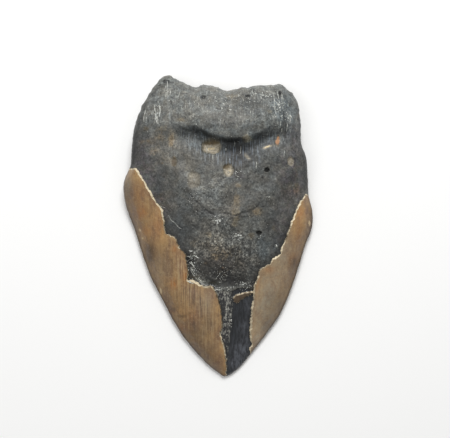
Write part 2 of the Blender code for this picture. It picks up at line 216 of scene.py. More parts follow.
# Soft marks on the enamel, rusty and dark: middle, half width along X and along Y, strength.
ENAMEL_RUST = [
    (-20.4, -27.6, 1.6, 2.4, 1), (-15.2, -24, 1, 3, 1), (-19.8, -11.6, 1.2, 1.6, 0.7),
    (-35.2, 5.5, 2.6, 2.8, 0.75), (-33.5, -3, 2.6, 3, 0.6), (-27.5, -1, 3, 7, 0.35),
    (-12, -42, 5, 3, 0.4), (-16.8, -48.2, 3, 2, 0.6), (37.5, -3, 2.2, 6, 0.35),
    (23.5, -21, 2.5, 1.6, 0.5), (-36.5, 13, 3, 5, 0.3), (-21.5, -40.2, 3, 1.2, 0.5), (38.5, 6, 3, 2, 0.4),
    (35.4, -16.6, 2.6, 3, 0.7), (18.2, -27, 1.2, 4.5, 0.45),
]
ENAMEL_DARK = [
    (-31.9, -13.4, 2.2, 4.2, 1.6), (35.8, -17.6, 2.4, 3, 1.1), (-3.6, -46, 3, 6, 0.3),
    (-16, -51, 6, 6, 0.25), (-5, -62, 5, 5, 0.3), (42, 2, 1.8, 6, 0.25), (-43, 12, 2, 9, 0.3),
    (-36.5, -8, 1.5, 2.5, 0.4), (-20.8, -39.5, 1.3, 1.1, 0.9), (-16.6, -42.4, 2.4, 0.7, 0.8),
    (-12.9, -40.9, 1, 0.6, 0.6), (-14.2, -21, 0.8, 3.5, 0.4),
]
# Where it turns to a greener grey.
ENAMEL_HAZE = [
    (22, -36, 8, 20, 1), (30, -14, 6, 12, 0.75), (-27, -20, 4, 7, 0.35), (-42, 19, 2.4, 4, 0.9),
    (17.5, -52, 3, 6, 0.5), (-5.5, -36, 3.5, 6, 0.5),
]
# Where its hair-fine lengthways lines show.
ENAMEL_LINES = [
    (-13, -29, 8, 18, 1), (-5, -44, 5, 14, 0.9), (18.5, -27, 2.2, 6, 0.7), (-30, 0, 9, 16, 0.25),
    (-17.5, -20, 3, 8, 0.5),
]
# Where the broken edge is fresh and cream, and, below nothing, where it is stained dark.
BREAK_FRESH = [
    (-34, 18, 6, 9, 1.4), (-27, 6, 4, 7, 1), (-11.5, -27, 4.5, 2.5, 1.2), (16.5, -53, 2.5, 4, 1),
    (37, 6, 5, 8, 1.1), (28, -14, 5, 6, 0.9), (0.6, -51.8, 1.5, 1.6, 0.9), (2.2, -59.7, 1.5, 2, 0.6),
    (0.2, -40, 3, 7, -0.6), (16.6, -40, 3, 12, 0.5), (-16, -14, 3, 6, -0.6), (2.4, -66, 2, 4, -0.3),
]
# Where the enamel is a little lighter, or darker where it is less than nothing.
ENAMEL_LIGHT = [
    (27, -27, 4.5, 4, 0.17), (31.5, -22, 3, 3, 0.12), (-24, -25, 5, 5, 0.08), (-17, -18, 3, 8, 0.08),
    (-28, 0, 4, 7, 0.08), (19, -52, 4, 3.5, 0.17), (-12, -38, 6, 5, 0.05), (-4, -47, 3, 7, -0.08),
    (-36, 6, 3, 4, 0.05), (38.5, 5, 3, 5, 0.17), (-9.5, -51, 4, 4, -0.12), (-2.5, -57, 3, 4, -0.1),
]

left_edge, right_edge = (curve_through(line, BREAK_SPACING) for line in (LEFT_BREAK, RIGHT_BREAK))
left_edge = beside(left_edge, lumps(left_edge, SPLINTERS))
right_edge = beside(right_edge, lumps(right_edge, SPLINTERS))
enamel_bands = [
    (left_edge, np.concatenate([left_edge, LEFT_OUTSIDE]), 1),
    (right_edge, np.concatenate([right_edge, RIGHT_OUTSIDE]), -1),
]


def distance_to(line, points, closed=False):
    """Distance from each point to the nearest place on the line."""
    line = np.array(line, float)
    ends = np.roll(line, -1, axis=0) if closed else line[1:]
    nearest = np.full(len(points), np.inf)
    for start, end in zip(line, ends):
        run = end - start
        offset = points - start
        share = np.clip(offset @ run / (run @ run), 0, 1)
        offset -= share[:, None] * run
        np.minimum(nearest, np.einsum("ij,ij->i", offset, offset), out=nearest)
    return np.sqrt(nearest)


def inside(region, points):
    """Whether each point lies in the closed region."""
    within = np.zeros(len(points), bool)
    for (ax, ay), (bx, by) in zip(region, np.roll(region, -1, axis=0)):
        if ay != by:
            crosses = (points[:, 1] < ay) != (points[:, 1] < by)
            within ^= crosses & (points[:, 0] < ax + (points[:, 1] - ay) / (by - ay) * (bx - ax))
    return within


def break_width(points):
    """How far the broken face runs out at each place: uneven, and widest on the shelf."""
    x, y = points.T
    width = BREAK_WIDTH
    for wider, stops_x, stops_y in WIDER_BREAKS:
        width += wider * between(stops_x, x) * between(stops_y, y)
    return width * (1 + lumps(points, BREAK_UNEVENNESS))


def enamel_left(points):
    """How much of the enamel's thickness is left: 1 on the bands, 0 past their broken faces."""
    cover = np.zeros(len(points))
    width = break_width(points)
    for edge, band, _ in enamel_bands:
        away = distance_to(edge, points)
        away[inside(band, points)] = 0
        cover = np.maximum(cover, 1 - np.clip(away / width, 0, 1))
    return cover


def node(tree, kind, *feeds, result=None, **named):
    """Adds a node and returns one of its results. Its inputs are given in order, or by a name with a
    capital, each as a value or as the result that feeds it. Its settings have small letters."""
    made = tree.nodes.new(kind if "Node" in kind else "ShaderNode" + kind)
    for name, value in named.items():
        if name.islower():
            setattr(made, name, value)
    inputs = [socket for socket in made.inputs if socket.enabled]
    labels = [socket.name.replace(" ", "_") for socket in inputs]
    feeds = dict(enumerate(feeds))
    feeds |= {labels.index(name): value for name, value in named.items() if not name.islower()}
    for i, value in feeds.items():
        if isinstance(value, bpy.types.NodeSocket):
            tree.links.new(value, inputs[i])
        else:
            inputs[i].default_value = value
    return next(socket for socket in made.outputs if socket.enabled and result in (None, socket.name))


def colour(code):
    """An sRGB hex colour as linear red, green, blue and alpha."""
    levels = [int(code[i : i + 2], 16) / 255 for i in (1, 3, 5)]
    return tuple(v / 12.92 if v <= 0.04045 else ((v + 0.055) / 1.055) ** 2.4 for v in levels) + (1,)


def start_material(name, roughness, ior, masks=(), patterns=()):
    """A material, its node tree and its surface shader, then the place on the piece in millimetres,
    its masks and its noise patterns. A pattern is its stretch, size, detail and roughness."""
    material = bpy.data.materials.new(name)
    material.use_nodes = True
    tree = material.node_tree
    surface = tree.nodes["Principled BSDF"].inputs
    surface["Roughness"].default_value = roughness
    surface["IOR"].default_value = ior
    surface["Metallic"].default_value = 0
    place = node(tree, "TexCoord", result="Object")
    reads = [node(tree, "VectorMath", place, 1 / MM, operation="SCALE")]
    for mask in masks:
        reads.append(node(tree, "Attribute", result="Fac", attribute_name=mask))
    for stretch, size, detail, ragged in patterns:
        along = node(tree, "VectorMath", reads[0], stretch, operation="MULTIPLY")
        reads.append(node(tree, "TexNoise", Vector=along, Scale=1 / size, Detail=detail, Roughness=ragged))
    return material, tree, surface, *reads


def coated(tree, tint, coats):
    """The tint under its coats: each is a pattern, the levels of it at which the coat starts and is
    at its strongest, how strong that is, and its colour."""
    for pattern, start, full, strength, shade in coats:
        share = node(tree, "MapRange", pattern, start, full, 0, strength)
        tint = node(tree, "Mix", share, tint, shade, data_type="RGBA")
    return tint


def finish_material(tree, surface, tint, gloss, reliefs):
    """Links the colour, the roughness and the relief: each of them a pattern, its depth in
    millimetres and its strength."""
    normal = node(tree, "NewGeometry", result="Normal")
    for pattern, depth, strength in reliefs:
        normal = node(tree, "Bump", Height=pattern, Distance=depth * MM, Strength=strength, Normal=normal)
    tree.links.new(normal, surface["Normal"])
    tree.links.new(tint, surface["Base Color"])
    if gloss:
        tree.links.new(gloss, surface["Roughness"])


SRGB_GAMMA = 2.2  # turns a level that is even to the eye into one of light
EVEN = (1, 1, 1)  # the stretch of a pattern that isn't drawn out

# Worn fossil enamel: a satin, faintly waxy brown with broad mottling. Its crystals grew along the
# tooth, and show as hair-fine dark and light lines that run lengthways.
enamel, tree, surface, place, *reads = start_material(
    "worn fossil enamel", 0.42, 1.6, ["haze", "rust_and_pit_shade", "dark", "lined", "sediment", "level"],
    [((1, 0.5, 1), 6, 5, 0.5), ((1, 0.5, 1), 1.8, 5, 0.7), ((1, 0.04, 0.04), 0.6, 3, 0.6),
     (EVEN, 0.8, 3, 0.7)],
)
haze, rust_and_pit_shade, dark, lined, nick, level, mottle, cloudy, fibres, dust = reads
tint = coated(tree, colour("#795c40"), [
    (mottle, 0.36, 0.64, 1, colour("#9c7b4e")),
    (cloudy, 0.52, 0.7, 0.6, colour("#a2895e")), (cloudy, 0.48, 0.32, 0.6, colour("#634a33")),
])
patchy = node(tree, "MapRange", cloudy, 0.35, 0.6, 0.5)
for stain, strength, shade in [(haze, 0.8, "#8e8674"), (rust_and_pit_shade, 0.9, "#9a5f22"), (dark, 0.9, "#452f10")]:
    share = node(tree, "Math", stain, strength, operation="MULTIPLY")
    share = node(tree, "Math", share, patchy, operation="MULTIPLY")
    tint = node(tree, "Mix", share, tint, colour(shade), data_type="RGBA")
lined = node(tree, "MapRange", lined, 0, 1, 0.12)
for start, full, strength, shade in [(0.54, 0.68, 0.8, "#3d3122"), (0.46, 0.34, 0.6, "#b09a72")]:
    share = node(tree, "MapRange", fibres, start, full, 0, strength)
    share = node(tree, "Math", share, lined, operation="MULTIPLY")
    tint = node(tree, "Mix", share, tint, colour(shade), data_type="RGBA")
nick = node(tree, "Math", nick, cloudy, operation="MULTIPLY")
tint = coated(tree, tint, [
    (dust, 0.55, 0.7, 0.35, colour("#b8a27c")), (dust, 0.42, 0.3, 0.4, colour("#4c3e2b")),
    (nick, 0.3, 0.5, 0.9, colour("#d6bd92")),
])
level = node(tree, "Math", level, SRGB_GAMMA, operation="POWER")
tint = node(tree, "VectorMath", tint, level, operation="SCALE")
gloss = node(tree, "MapRange", cloudy, 0, 1, 0.32, 0.52)
finish_material(tree, surface, tint, gloss, [(fibres, 0.06, 0.6), (cloudy, 0.3, 0.4)])

# Broken enamel: matt cream crystal ends, uneven, with tan where dirt has got in.
broken, tree, surface, place, fresh, splinters = start_material(
    "broken enamel edge", 0.6, 1.6, ["fresh"], [(EVEN, 1.3, 4, 0.7)]
)
fresh = node(tree, "Math", fresh, 0.22, operation="MULTIPLY")
clean = node(tree, "Math", splinters, fresh, operation="ADD")
tint = coated(tree, colour("#5f4f38"), [(clean, 0.42, 0.64, 1, colour("#e2d3b4"))])
finish_material(tree, surface, tint, None, [(splinters, 0.25, 0.6)])


# ==== The root ====================================================================================
# Bone-like root dentine, granular and dull. Its middle swells out into a bulge with a sharp lower
# lip that overhangs a hollow, and its upper edge is knobbly and pitted.

BULGE_HEIGHT = 4.4
BULGE_SHOULDER = 8  # how far above its lip the bulge starts to sink again
BULGE_LENGTH = 27  # and how far above the lip it ends
HOLLOW_DEPTH = 2.3
HOLLOW_MIDDLE = 5  # how far below the lip the hollow is deepest
HOLLOW_HALF_WIDTH = 4.6
LIP_FOOT = (-9, -1.4)  # how far below the lip the bulge ends: where it is soft, and at the lip
LIP_TOP = 0.8
LIP_HEIGHT = 0.78  # the lip's height as a share of the bulge's
LIP_ROUNDING = 6
SOFT_BULGE = 0.35  # what is left of the bulge, and of the hollow, where there is no lip
SOFT_HOLLOW = 0.25
ROOT_KNOBS = [(7, 1.1, 9.1), (4.5, 0.8, 3.3), (2.4, 0.45, 7.7)]
LIP = [
    (-46, 41.5), (-35, 42.5), (-17, 44.1), (-12, 44), (-7.5, 42), (-3, 39.6), (2.4, 38.3), (7.8, 38),
    (12.3, 38.5), (16.8, 40), (20.4, 42), (24, 44.2), (30, 45.7), (46, 46.6),
]
# 0 where the bulge runs out softly, and 1 where it ends in a lip.
LIP_SHARPNESS = [(-46, 0), (-24, 0.12), (-13, 0.75), (-5, 1), (16, 1), (24, 0.6), (46, 0.12)]


def ridge(away, half_width):
    """1 where away is 0, falling smoothly to nothing on both sides."""
    return np.exp(-((away / half_width) ** 2))


def bulge(points):
    """The swelling of the root, its sharp lower lip and the hollow under the lip."""
    x, y = points.T
    above = y - profile(LIP, x)
    sharp = np.clip(profile(LIP_SHARPNESS, x), 0, 1)
    drop = fade(blend(*LIP_FOOT, sharp), LIP_TOP, above)
    shoulder = blend(LIP_HEIGHT, 1, fade(0, LIP_ROUNDING, above))
    shoulder *= 1 - fade(BULGE_SHOULDER, BULGE_LENGTH, above)
    hollow = ridge(above + HOLLOW_MIDDLE, HOLLOW_HALF_WIDTH)
    swelling = BULGE_HEIGHT * blend(SOFT_BULGE, 1, sharp) * drop * shoulder
    return swelling - HOLLOW_DEPTH * blend(SOFT_HOLLOW, 1, sharp) * hollow


# ==== The bare dentine ============================================================================
# Where the enamel is gone the dark dentine shows: dull, finely pitted, with a low fold like a wide
# V, a few lens-shaped pits filled with tan sediment, and a glassy groove beside the left shelf.

FOLD = [(-21, 27), (-17, 21), (-11.3, 9.6), (-6, 4.4), (0.5, 1.4), (7.7, 3), (15, 8.3), (24, 15)]
FOLD_HEIGHT = 0.9
FOLD_HALF_WIDTH = 3.6
DIP_DEPTH = 0.9  # the dip of the dentine above the strip and the left band's shelf
DIP_MIDDLE = -25.5
DIP_HALF_WIDTH = 3.2
DIP_SPAN = (-16, -10, 12, 19)
SHELF_GROOVE = 0.8
SHELF_GROOVE_OFFSET = 1.8
SHELF_GROOVE_HALF_WIDTH = 1.4
SHELF_GROOVE_SPAN = (-31, -28, -17, -12)
STRIP_EVENNESS = 0.85  # how much of the dentine's lumps is gone on the strip
STRIP_START = (-28, -32)
ROOT_KNOBS_START = (46, 64)
DENTINE_LUMPS = [(9, 0.55, 1.7), (4.5, 0.35, 5.2), (2, 0.2, 8.3)]
PIT_RAGGED_SIZE = 2.6
PIT_RAGGEDNESS = 0.28
PIT_WALL = (0.35, 1.15)  # from the pit's floor to its rim, in squares of its half widths
# Middle, half length along X, half length along Y, depth, and how much tan sediment fills it.
PITS = [
    ((-2.8, 34.8), 5, 3.4, 1.9, 1),
    ((4.8, 24), 2.6, 3.2, 1.1, 0.95),
    ((-10.7, 19.6), 3.4, 4.3, 0.5, 0.36),
    ((22.4, 24.5), 1.3, 1, 1.2, 0),
    ((18.8, -4.2), 1.6, 0.9, 1.2, 0),
    ((33.5, 28.8), 1.7, 2.4, 0.6, 0.6),
    ((-20.3, 28.2), 1.9, 2.3, 0.5, 0.4),
    ((-24.4, 66.7), 2, 0.9, 1.3, 0),
    ((-27.1, 65), 0.9, 0.7, 0.8, 0),
    ((-6.6, 57.6), 1.5, 0.9, 0.7, 0),
    ((13.6, 58.6), 1.4, 0.8, 0.6, 0),
    ((28.6, 60.6), 0.9, 1.3, 0.6, 0),
]


def in_pit(points, pit):
    """1 in the middle of the pit, falling to 0 at its rim."""
    (px, py), half_x, half_y = pit[:3]
    x, y = points.T
    ragged = PIT_RAGGEDNESS * lumps(points, [(PIT_RAGGED_SIZE, 1, px)])
    return 1 - fade(*PIT_WALL, ((x - px) / half_x) ** 2 + ((y - py) / half_y) ** 2 + ragged)


def beside_shelf(points):
    """1 in the glassy groove, 0 away from it."""
    y = points[:, 1]
    from_shelf = distance_to(left_edge, points) - SHELF_GROOVE_OFFSET
    return ridge(from_shelf, SHELF_GROOVE_HALF_WIDTH) * between(SHELF_GROOVE_SPAN, y)


def dentine_relief(points):
    """Folds, pits and lumps of the bare dentine and the root."""
    x, y = points.T
    height = FOLD_HEIGHT * ridge(distance_to(FOLD, points), FOLD_HALF_WIDTH)
    for pit in PITS:
        height -= pit[3] * in_pit(points, pit)
    height -= DIP_DEPTH * ridge(y - DIP_MIDDLE, DIP_HALF_WIDTH) * between(DIP_SPAN, x)
    height -= SHELF_GROOVE * beside_shelf(points)
    for half_width, _, depth, path in DARK_LINES:
        height -= depth * ridge(distance_to(path, points), half_width)
    uneven = 1 - STRIP_EVENNESS * fade(*STRIP_START, y)
    knobbly = fade(*ROOT_KNOBS_START, y)
    return height + uneven * lumps(points, DENTINE_LUMPS) + knobbly * lumps(points, ROOT_KNOBS)


# How light the bare surface is, as an sRGB level before its grain: a level for the dentine and one
# for the root, lightened or darkened by soft marks and by dark lines.
DENTINE_LEVEL = 0.318
ROOT_LEVEL = 0.415
LEVEL_MARKS = [
    # The four marks on the line below are painted shade in the hollow under the lip.
    (8, 35, 8, 3.6, -0.12), (9, 30.5, 6.5, 4.5, -0.19), (-8, 39.5, 6, 2.4, -0.06), (19, 37.5, 8, 4, -0.1),
    (-22, 35, 10, 9, 0.045), (-13, 26, 6, 8, 0.045), (-2, 18, 8, 8, 0.03), (27, 33, 5, 3, 0.03),
    (34, 19, 6, 11, -0.05), (-39, 35, 3.5, 12, -0.1), (-0.4, -7.4, 3.2, 2.8, 0.19), (12, 0.5, 5, 4, 0.04),
    (-16, -4, 6, 6, -0.08), (2, -21, 11, 7, -0.11), (-9.5, -22, 4, 5, -0.09), (-17, 4, 7, 6, -0.03),
    (-25, 21, 6, 8, -0.03), (26, -3, 5, 10, -0.03), (8, -26.2, 8, 2.6, -0.16),
    # The second mark on the line below is a painted highlight on a glossy patch by the groove.
    (-12.6, -16.4, 2.6, 3.4, -0.14), (-11, -13.2, 1.2, 1, 0.2), (8, -29.3, 8.5, 0.9, 0.1),
    (24, 10, 6, 6, -0.03), (-36, 30, 4, 6, -0.02), (31, 56, 6, 8, -0.09), (12.5, -20, 3, 3, 0.02),
    (8.9, 21.8, 1.8, 3, -0.06), (-28, 15, 3, 6, -0.04), (-30, 62, 3, 3, -0.05), (13, 54.5, 9, 6, -0.1),
    (0, 46.5, 9, 4, -0.04), (-34, 47, 4, 6, -0.05), (-10, 48, 5, 4, 0.05), (34, 49, 2.4, 4, 0.07),
    # The first mark on the line below lifts that painted shade off a reddish patch under the lip.
    (13.4, 38.4, 2.6, 1.8, 0.28), (24.4, 21.4, 0.7, 2, 0.07), (-12, 54, 6, 5, -0.05),
    (-6, 12, 5, 4, 0.04), (-12, 31, 5, 5, -0.05), (-13, 14.5, 3, 2.4, -0.04), (12, 10, 3, 4, -0.02),
    (27.5, 51, 4, 4, 0.05), (-11, 21, 3, 3, 0.03), (-9, 15, 2, 4, 0.05), (28.2, 54.5, 1.8, 1.6, -0.02),
    (33.3, 49.3, 1, 0.8, 0.14), (23.5, -2.5, 2, 2, -0.05), (-3, 44, 5, 2.5, -0.03), (-20, 36, 3, 6, 0.03),
    (-31, 40, 4, 4, -0.03), (-34, 60, 3, 4, -0.04), (15, 57, 3, 3, -0.04), (3, 60, 4, 2, 0.03),
    (-18, 61, 4, 3, -0.02), (-30, 55, 3, 5, -0.04), (1, 19, 5, 4, 0.04), (8, 44, 8, 3, -0.03),
    (36.4, 15.7, 2.2, 3, 0.08), (-12.4, 21.6, 2, 1.6, 0.05), (26.8, -13, 0.9, 1.1, -0.1),
    (8, 5, 2, 2, -0.05), (18, 5.4, 2.4, 2, 0.05), (-10, 16.5, 2, 3.5, 0.03), (1, -21, 4, 3, -0.03),
]
# A dark line or band: its half width, how much it darkens, how deep it is cut, and its path.
DARK_LINES = [
    (0.4, 0.14, 0.25, [(-12.4, 13.3), (-11, 10.9), (-9.6, 9.8), (-8, 8.4)]),
    (0.4, 0.14, 0.25, [(-7.2, 7.2), (-5.6, 6.2), (-3.2, 4.2), (-1.6, 3.6)]),
    (0.8, -0.05, 0, [(33, 26.5), (29, 23.5), (25.5, 19), (23.5, 14.5)]),
    (1.5, -0.2, 0, [(-12.4, -19.6), (-10.6, -22.4), (-8.8, -25), (-6, -27.4)]),
    # Painted shadow along the foot of the lip's overhang, over a shallow cut.
    (0.8, 0.12, 0.1, [(-13, 44.2), (-9, 42.6), (-4.5, 40.2), (0, 38.4), (5, 37.4), (12, 37.8)]),
    (1.8, 0.04, 0.1, [(-14, 11.6), (-9, 8), (-4, 4.4), (0, 3.2)]),
    (0.5, 0.1, 0.2, [(2.3, 4.4), (8, 3.2), (12, 4.7), (16, 6.3), (19, 8.7)]),
    (0.4, 0.05, 0.05, [(5.6, -8.1), (7.3, -9.4), (10, -9.9), (13, -9.2), (16, -7.4)]),
    (0.4, 0.05, 0.05, [(5.2, -11.7), (8.5, -13.2), (12.5, -12.8), (16.6, -10.4)]),
    (0.45, 0.08, 0.1, [(-12, -0.6), (-7, -2.8), (-3, -2.3)]),
    (1.3, 0.12, 0, [(-34, 56.4), (-36, 48.6), (-37.8, 42.8), (-38.8, 37.6), (-39.6, 29)]),
    (1.2, 0.09, 0, [(37.6, 56), (38, 46), (39.6, 36), (41, 26), (40.4, 17)]),
    (0.5, 0.1, 0.2, [(30, 51), (31.4, 44), (31, 39.6)]),
    # Painted shadow under the lip's left end, over a shallow cut.
    (0.5, 0.08, 0.1, [(-20, 45), (-14.5, 42.6), (-9, 41.4)]),
    (0.6, 0.08, 0.2, [(-30.4, 60.4), (-27.6, 63.6), (-24.4, 65.4), (-21, 66)]),
]
# How far each place turns from grey to brown, or to blue where it is less than nothing.
WARM_MARKS = [
    (-18, 31, 12, 10, 0.5), (-27, 39, 6, 5, 0.4), (7, 7, 5, 7, 0.5), (-3, -9, 7, 6, 0.5),
    (6, -17, 14, 8, 0.5), (34, 13, 5, 8, 0.5), (-24, 11, 5, 8, 0.3), (18, 5, 4, 3, 0.4),
    (-4, 57, 22, 8, 0.1), (8, 34, 10, 5, -0.8), (30, 53, 6, 9, -0.7), (-8, 39.5, 7, 4, -0.8),
    (22, 39, 7, 4, -0.7), (22, -11, 6, 8, -0.6), (-10.5, 34, 4, 5, -0.5), (-27, 17, 3, 5, -0.5),
    (-19, -3, 4, 7, -0.5),
]
# Brown and, past 1, orange stains; two marks are painted shadow on the upper rims of tan pits.
DENTINE_RUST_AND_PIT_SHADE = [
    (27.3, 37.2, 1.1, 1.5, 2.1), (27.8, 39.2, 0.9, 1.5, 1.7), (13.4, 38.2, 2.8, 1.7, 1.05),
    (-20, 28, 1.2, 2.6, 1.2), (-25.6, 27.4, 1, 0.8, 0.8), (8.4, 11, 2, 3.6, 0.75),
    (8, 4.8, 2.3, 4.4, 0.85), (7.6, -0.6, 1.6, 2.2, 0.6), (17.9, 5.4, 2.6, 2.2, 0.9),
    (36.4, 15.7, 2.2, 3.4, 0.75), (9.2, 16.9, 1.5, 1, 0.9), (-33, 43.6, 1.8, 1.6, 0.7),
    (-35, 37.8, 1.8, 1.4, 0.75), (-31.8, 38.2, 1.6, 1.2, 0.65), (-21.2, 38, 1.6, 3.6, 0.9),
    (-26.8, 39, 3, 3, 0.55), (-16.4, 47, 3, 1.6, 0.7), (-25.5, 43.4, 3.4, 1.6, 0.6),
    (15.4, -5.3, 1.8, 2.2, 0.7), (-3.9, -5.2, 1.6, 2, 0.7), (-5.6, -18, 0.8, 0.8, 1.1),
    (2.3, -20.1, 0.7, 0.8, 1), (-1.1, -15.2, 1.3, 1, 0.8), (25.6, -2.2, 2, 1.8, 0.6), (3, -14, 9, 4, 0.5),
    (2.5, -22.5, 5, 3, 0.45), (30, 14, 3, 4, 0.4), (-26, 12, 2, 4, 0.45), (24, 50.6, 1.8, 1.4, 0.7),
    # Of the line below, the last mark is painted shadow on the upper rim of the largest tan pit.
    (-12, -9, 4, 3, 0.45), (6, 58.6, 4, 2.4, 0.55), (-30, 33, 3, 3, 0.5), (-3, 37.3, 4.4, 1.7, 0.95),
    # Of the line below, the first mark is painted shadow on the upper rim of the tan pit at (4.8, 24).
    (4, 25.6, 2.2, 1.6, 0.95), (36.5, 25, 2, 5, 0.45), (38, 51, 1.2, 1.6, 0.8),
]
# Where the dentine turns maroon, and where it is coarsely mottled.
DENTINE_MAROON = [
    (34, 20, 6, 12, 1), (-34, 22, 6, 12, 0.9), (-27, 8, 6, 8, 0.6), (30, -2, 4, 8, 0.7),
    (9, 21.5, 2.4, 3, 1), (36, 40, 4, 6, 0.5), (-38, 34, 4, 8, 0.6), (2, -20, 10, 6, 0.3),
]
DENTINE_MOTTLED = [
    (-3, -11, 10, 9, 0.8), (4, -24, 10, 4, 1), (-8, 9, 7, 8, 0.4), (3, 3, 6, 6, 0.5), (0, 18, 6, 5, 0.4),
    (12, -13, 9, 9, 0.8),
]
# Tan sediment that isn't in a pit, cream where it is past 1, and pale nicks in the cutting edges.
SEDIMENT_MARKS = [
    (21.5, 34.6, 0.8, 0.4, 1.8), (22.8, 35.2, 0.8, 0.4, 2.2), (23.9, 35.7, 0.7, 0.35, 1.8),
    (26.4, 36, 1.8, 0.6, 0.3), (12.6, 31.3, 0.6, 0.7, 0.6), (13.4, 30.3, 0.7, 0.7, 0.7),
    (14.2, 29.5, 0.5, 0.6, 0.6), (9.2, 17.2, 1.2, 0.9, 0.7), (-26.9, -31, 0.8, 2.2, 1.3),
    (42.8, 0.8, 0.8, 1.8, 1.3), (-29.6, -27, 0.5, 1.2, 0.9), (-36.5, -2.4, 0.8, 1, 1.2),
    (-35.3, -6.2, 0.8, 1.2, 1), (-12.6, 21.8, 1.6, 1.3, 0.35),
]
# Where the pale specks and grains gather: partly mineral, partly painted glints.
SPARKLE_MARKS = [
    (28, 53.6, 3.4, 3, 0.8), (33, 48.6, 2, 1.6, 0.8), (20, 58.5, 7, 3, 0.6), (-27.5, 51, 2, 6, 0.7),
    (-33, 49, 2.5, 6, 0.4), (0, 54, 26, 11, 0.4), (-0.2, 1.3, 2.8, 1.8, 1.2), (8.6, -6, 3, 1.6, 1.2),
    (-1.5, -9, 5, 3, 0.45), (23.4, 12.1, 0.8, 1.2, 1.5), (27, -10.3, 0.9, 1, 1.8),
    (-12, -16.5, 2.4, 3.5, 0.9), (-11, -23, 2.2, 3.4, 0.7), (1.4, -29.8, 3, 0.8, 1.4),
    (6, 10, 20, 22, 0.14), (13, -27.4, 4, 1.2, 0.9), (1.5, -24.6, 2, 1.6, 0.7), (4, -19, 12, 7, 0.2),
    (2.5, -22.5, 6, 3.5, 0.25), (3.6, -43, 0.45, 7, 1.8), (5.9, -44.5, 0.45, 4, 2.2),
    (4.4, -35.6, 2, 2.6, 1.4), (8.9, 21.8, 1.8, 3, 1), (-12, 12, 6, 6, 0.35), (4.8, 23, 2, 2, 0.4),
    (3.9, -54, 0.5, 5, 0.9), (10, -29.4, 6, 0.8, 1.2), (2.4, -32, 2.4, 1.4, 1.2),
]
# Where pale hair scratches run up and down.
SCRATCH_MARKS = [
    (-28, 51, 3, 7, 1), (28, 52, 5, 8, 0.9), (-20, 59, 5, 5, 0.5), (0, 55, 20, 7, 0.35),
    (30, 39, 3, 5, 0.7), (4, 32, 12, 6, 0.5), (24, 20.5, 2, 4, 0.5), (-5, 16, 8, 8, 0.3),
    (8, 23, 6, 5, 0.35),
]
BREAK_SHADE = 0.14  # how much darker the dentine is right beside the broken enamel
BREAK_SHADE_WIDTH = 2.2
BREAK_SHADE_START = (10, -2)
PIT_SHADE = 0.2
LIP_CONTRAST = 1.5
LIP_TONE_HALF_WIDTH = (8, 0.8)  # of the change of tone at the lip, where it is soft and sharp


def spots(points, marks):
    """Soft-edged oval marks: each is its middle, its two half widths and its strength."""
    total = np.zeros(len(points))
    x, y = points.T
    for mark_x, mark_y, half_x, half_y, strength in marks:
        total += strength * np.exp(-(((x - mark_x) / half_x) ** 2) - ((y - mark_y) / half_y) ** 2)
    return total


def dentine_level(points, from_break):
    """How light the bare dentine or root is at each place."""
    x, y = points.T
    sharp = np.clip(LIP_CONTRAST * profile(LIP_SHARPNESS, x), 0, 1)
    half_width = blend(*LIP_TONE_HALF_WIDTH, sharp)
    on_root = fade(-half_width, half_width, y - profile(LIP, x))
    level = blend(DENTINE_LEVEL, ROOT_LEVEL, on_root) + spots(points, LEVEL_MARKS)
    for half_width, darker, _, path in DARK_LINES:
        level -= darker * ridge(distance_to(path, points), half_width)
    for pit in PITS:
        level -= PIT_SHADE * (1 - pit[4]) * in_pit(points, pit)
    shaded = fade(*BREAK_SHADE_START, y) * ridge(from_break, BREAK_SHADE_WIDTH)
    return level - BREAK_SHADE * shaded


SPECKS_PER_MM = 0.95

# Mineralised dentine: dull slate grey with brown stains, speckled like fine sandstone, with dark
# pores, pale specks that are partly mineral and partly painted glints and, in the hollow, faint
# lengthways streaks.
dentine, tree, surface, place, *reads = start_material(
    "mineralised dentine", 0.55, 1.55,
    ["streak", "level", "mottled", "warm", "maroon", "rust_and_pit_shade", "sediment", "sparkle", "scratch", "glassy"],
    [(EVEN, 0.9, 4, 0.75), (EVEN, 3.5, 4, 0.6), ((1, 0.07, 0.07), 0.42, 2, 0.5), (EVEN, 2.7, 4, 0.6),
     (EVEN, 1.3, 4, 0.5), (EVEN, 1.4, 2, 0.5), ((1, 0.2, 0.2), 0.6, 1, 0.5)],
)
streak, level, mottled, warm, maroon, stain_and_pit_shade, filled, sparkle, scratch, glassy = reads[:10]
speckle, cloudy, streaks, purple, patches, pores, scratches = reads[10:]
for pattern, least, most in [(cloudy, 0.84, 1.16), (speckle, 0.76, 1.24)]:
    share = node(tree, "MapRange", pattern, 0.35, 0.65, least, most)
    level = node(tree, "Math", level, share, operation="MULTIPLY")
for size, least, most in [(0.55, 0.18, 0.85), (1.1, 0, 0.9)]:
    cells = node(tree, "TexVoronoi", Vector=place, Scale=1 / size, result="Color")
    cells = node(tree, "SeparateColor", cells)
    strength = node(tree, "MapRange", mottled, 0, 1, least, most)
    cells = node(tree, "Math", cells, 0.5, operation="SUBTRACT")
    cells = node(tree, "Math", cells, strength, 1, operation="MULTIPLY_ADD")
    level = node(tree, "Math", level, cells, operation="MULTIPLY")
share = node(tree, "MapRange", streaks, 0.35, 0.65, 0.7, 1.35)
streaky = node(tree, "Math", level, share, operation="MULTIPLY")
level = node(tree, "Mix", streak, level, streaky)
level = node(tree, "Math", level, SRGB_GAMMA, operation="POWER")
hues = node(tree, "TexNoise", Vector=place, Scale=1 / 4.5, Detail=3, Distortion=0.5)
hues = node(tree, "MapRange", hues, 0.38, 0.62, -0.2, 0.35)
warm = node(tree, "Math", warm, hues, operation="ADD")
tone = node(
    tree, "Mix", warm, (0.985, 1.02, 0.94, 1), (1.13, 1, 0.76, 1), data_type="RGBA", clamp_factor=False
)
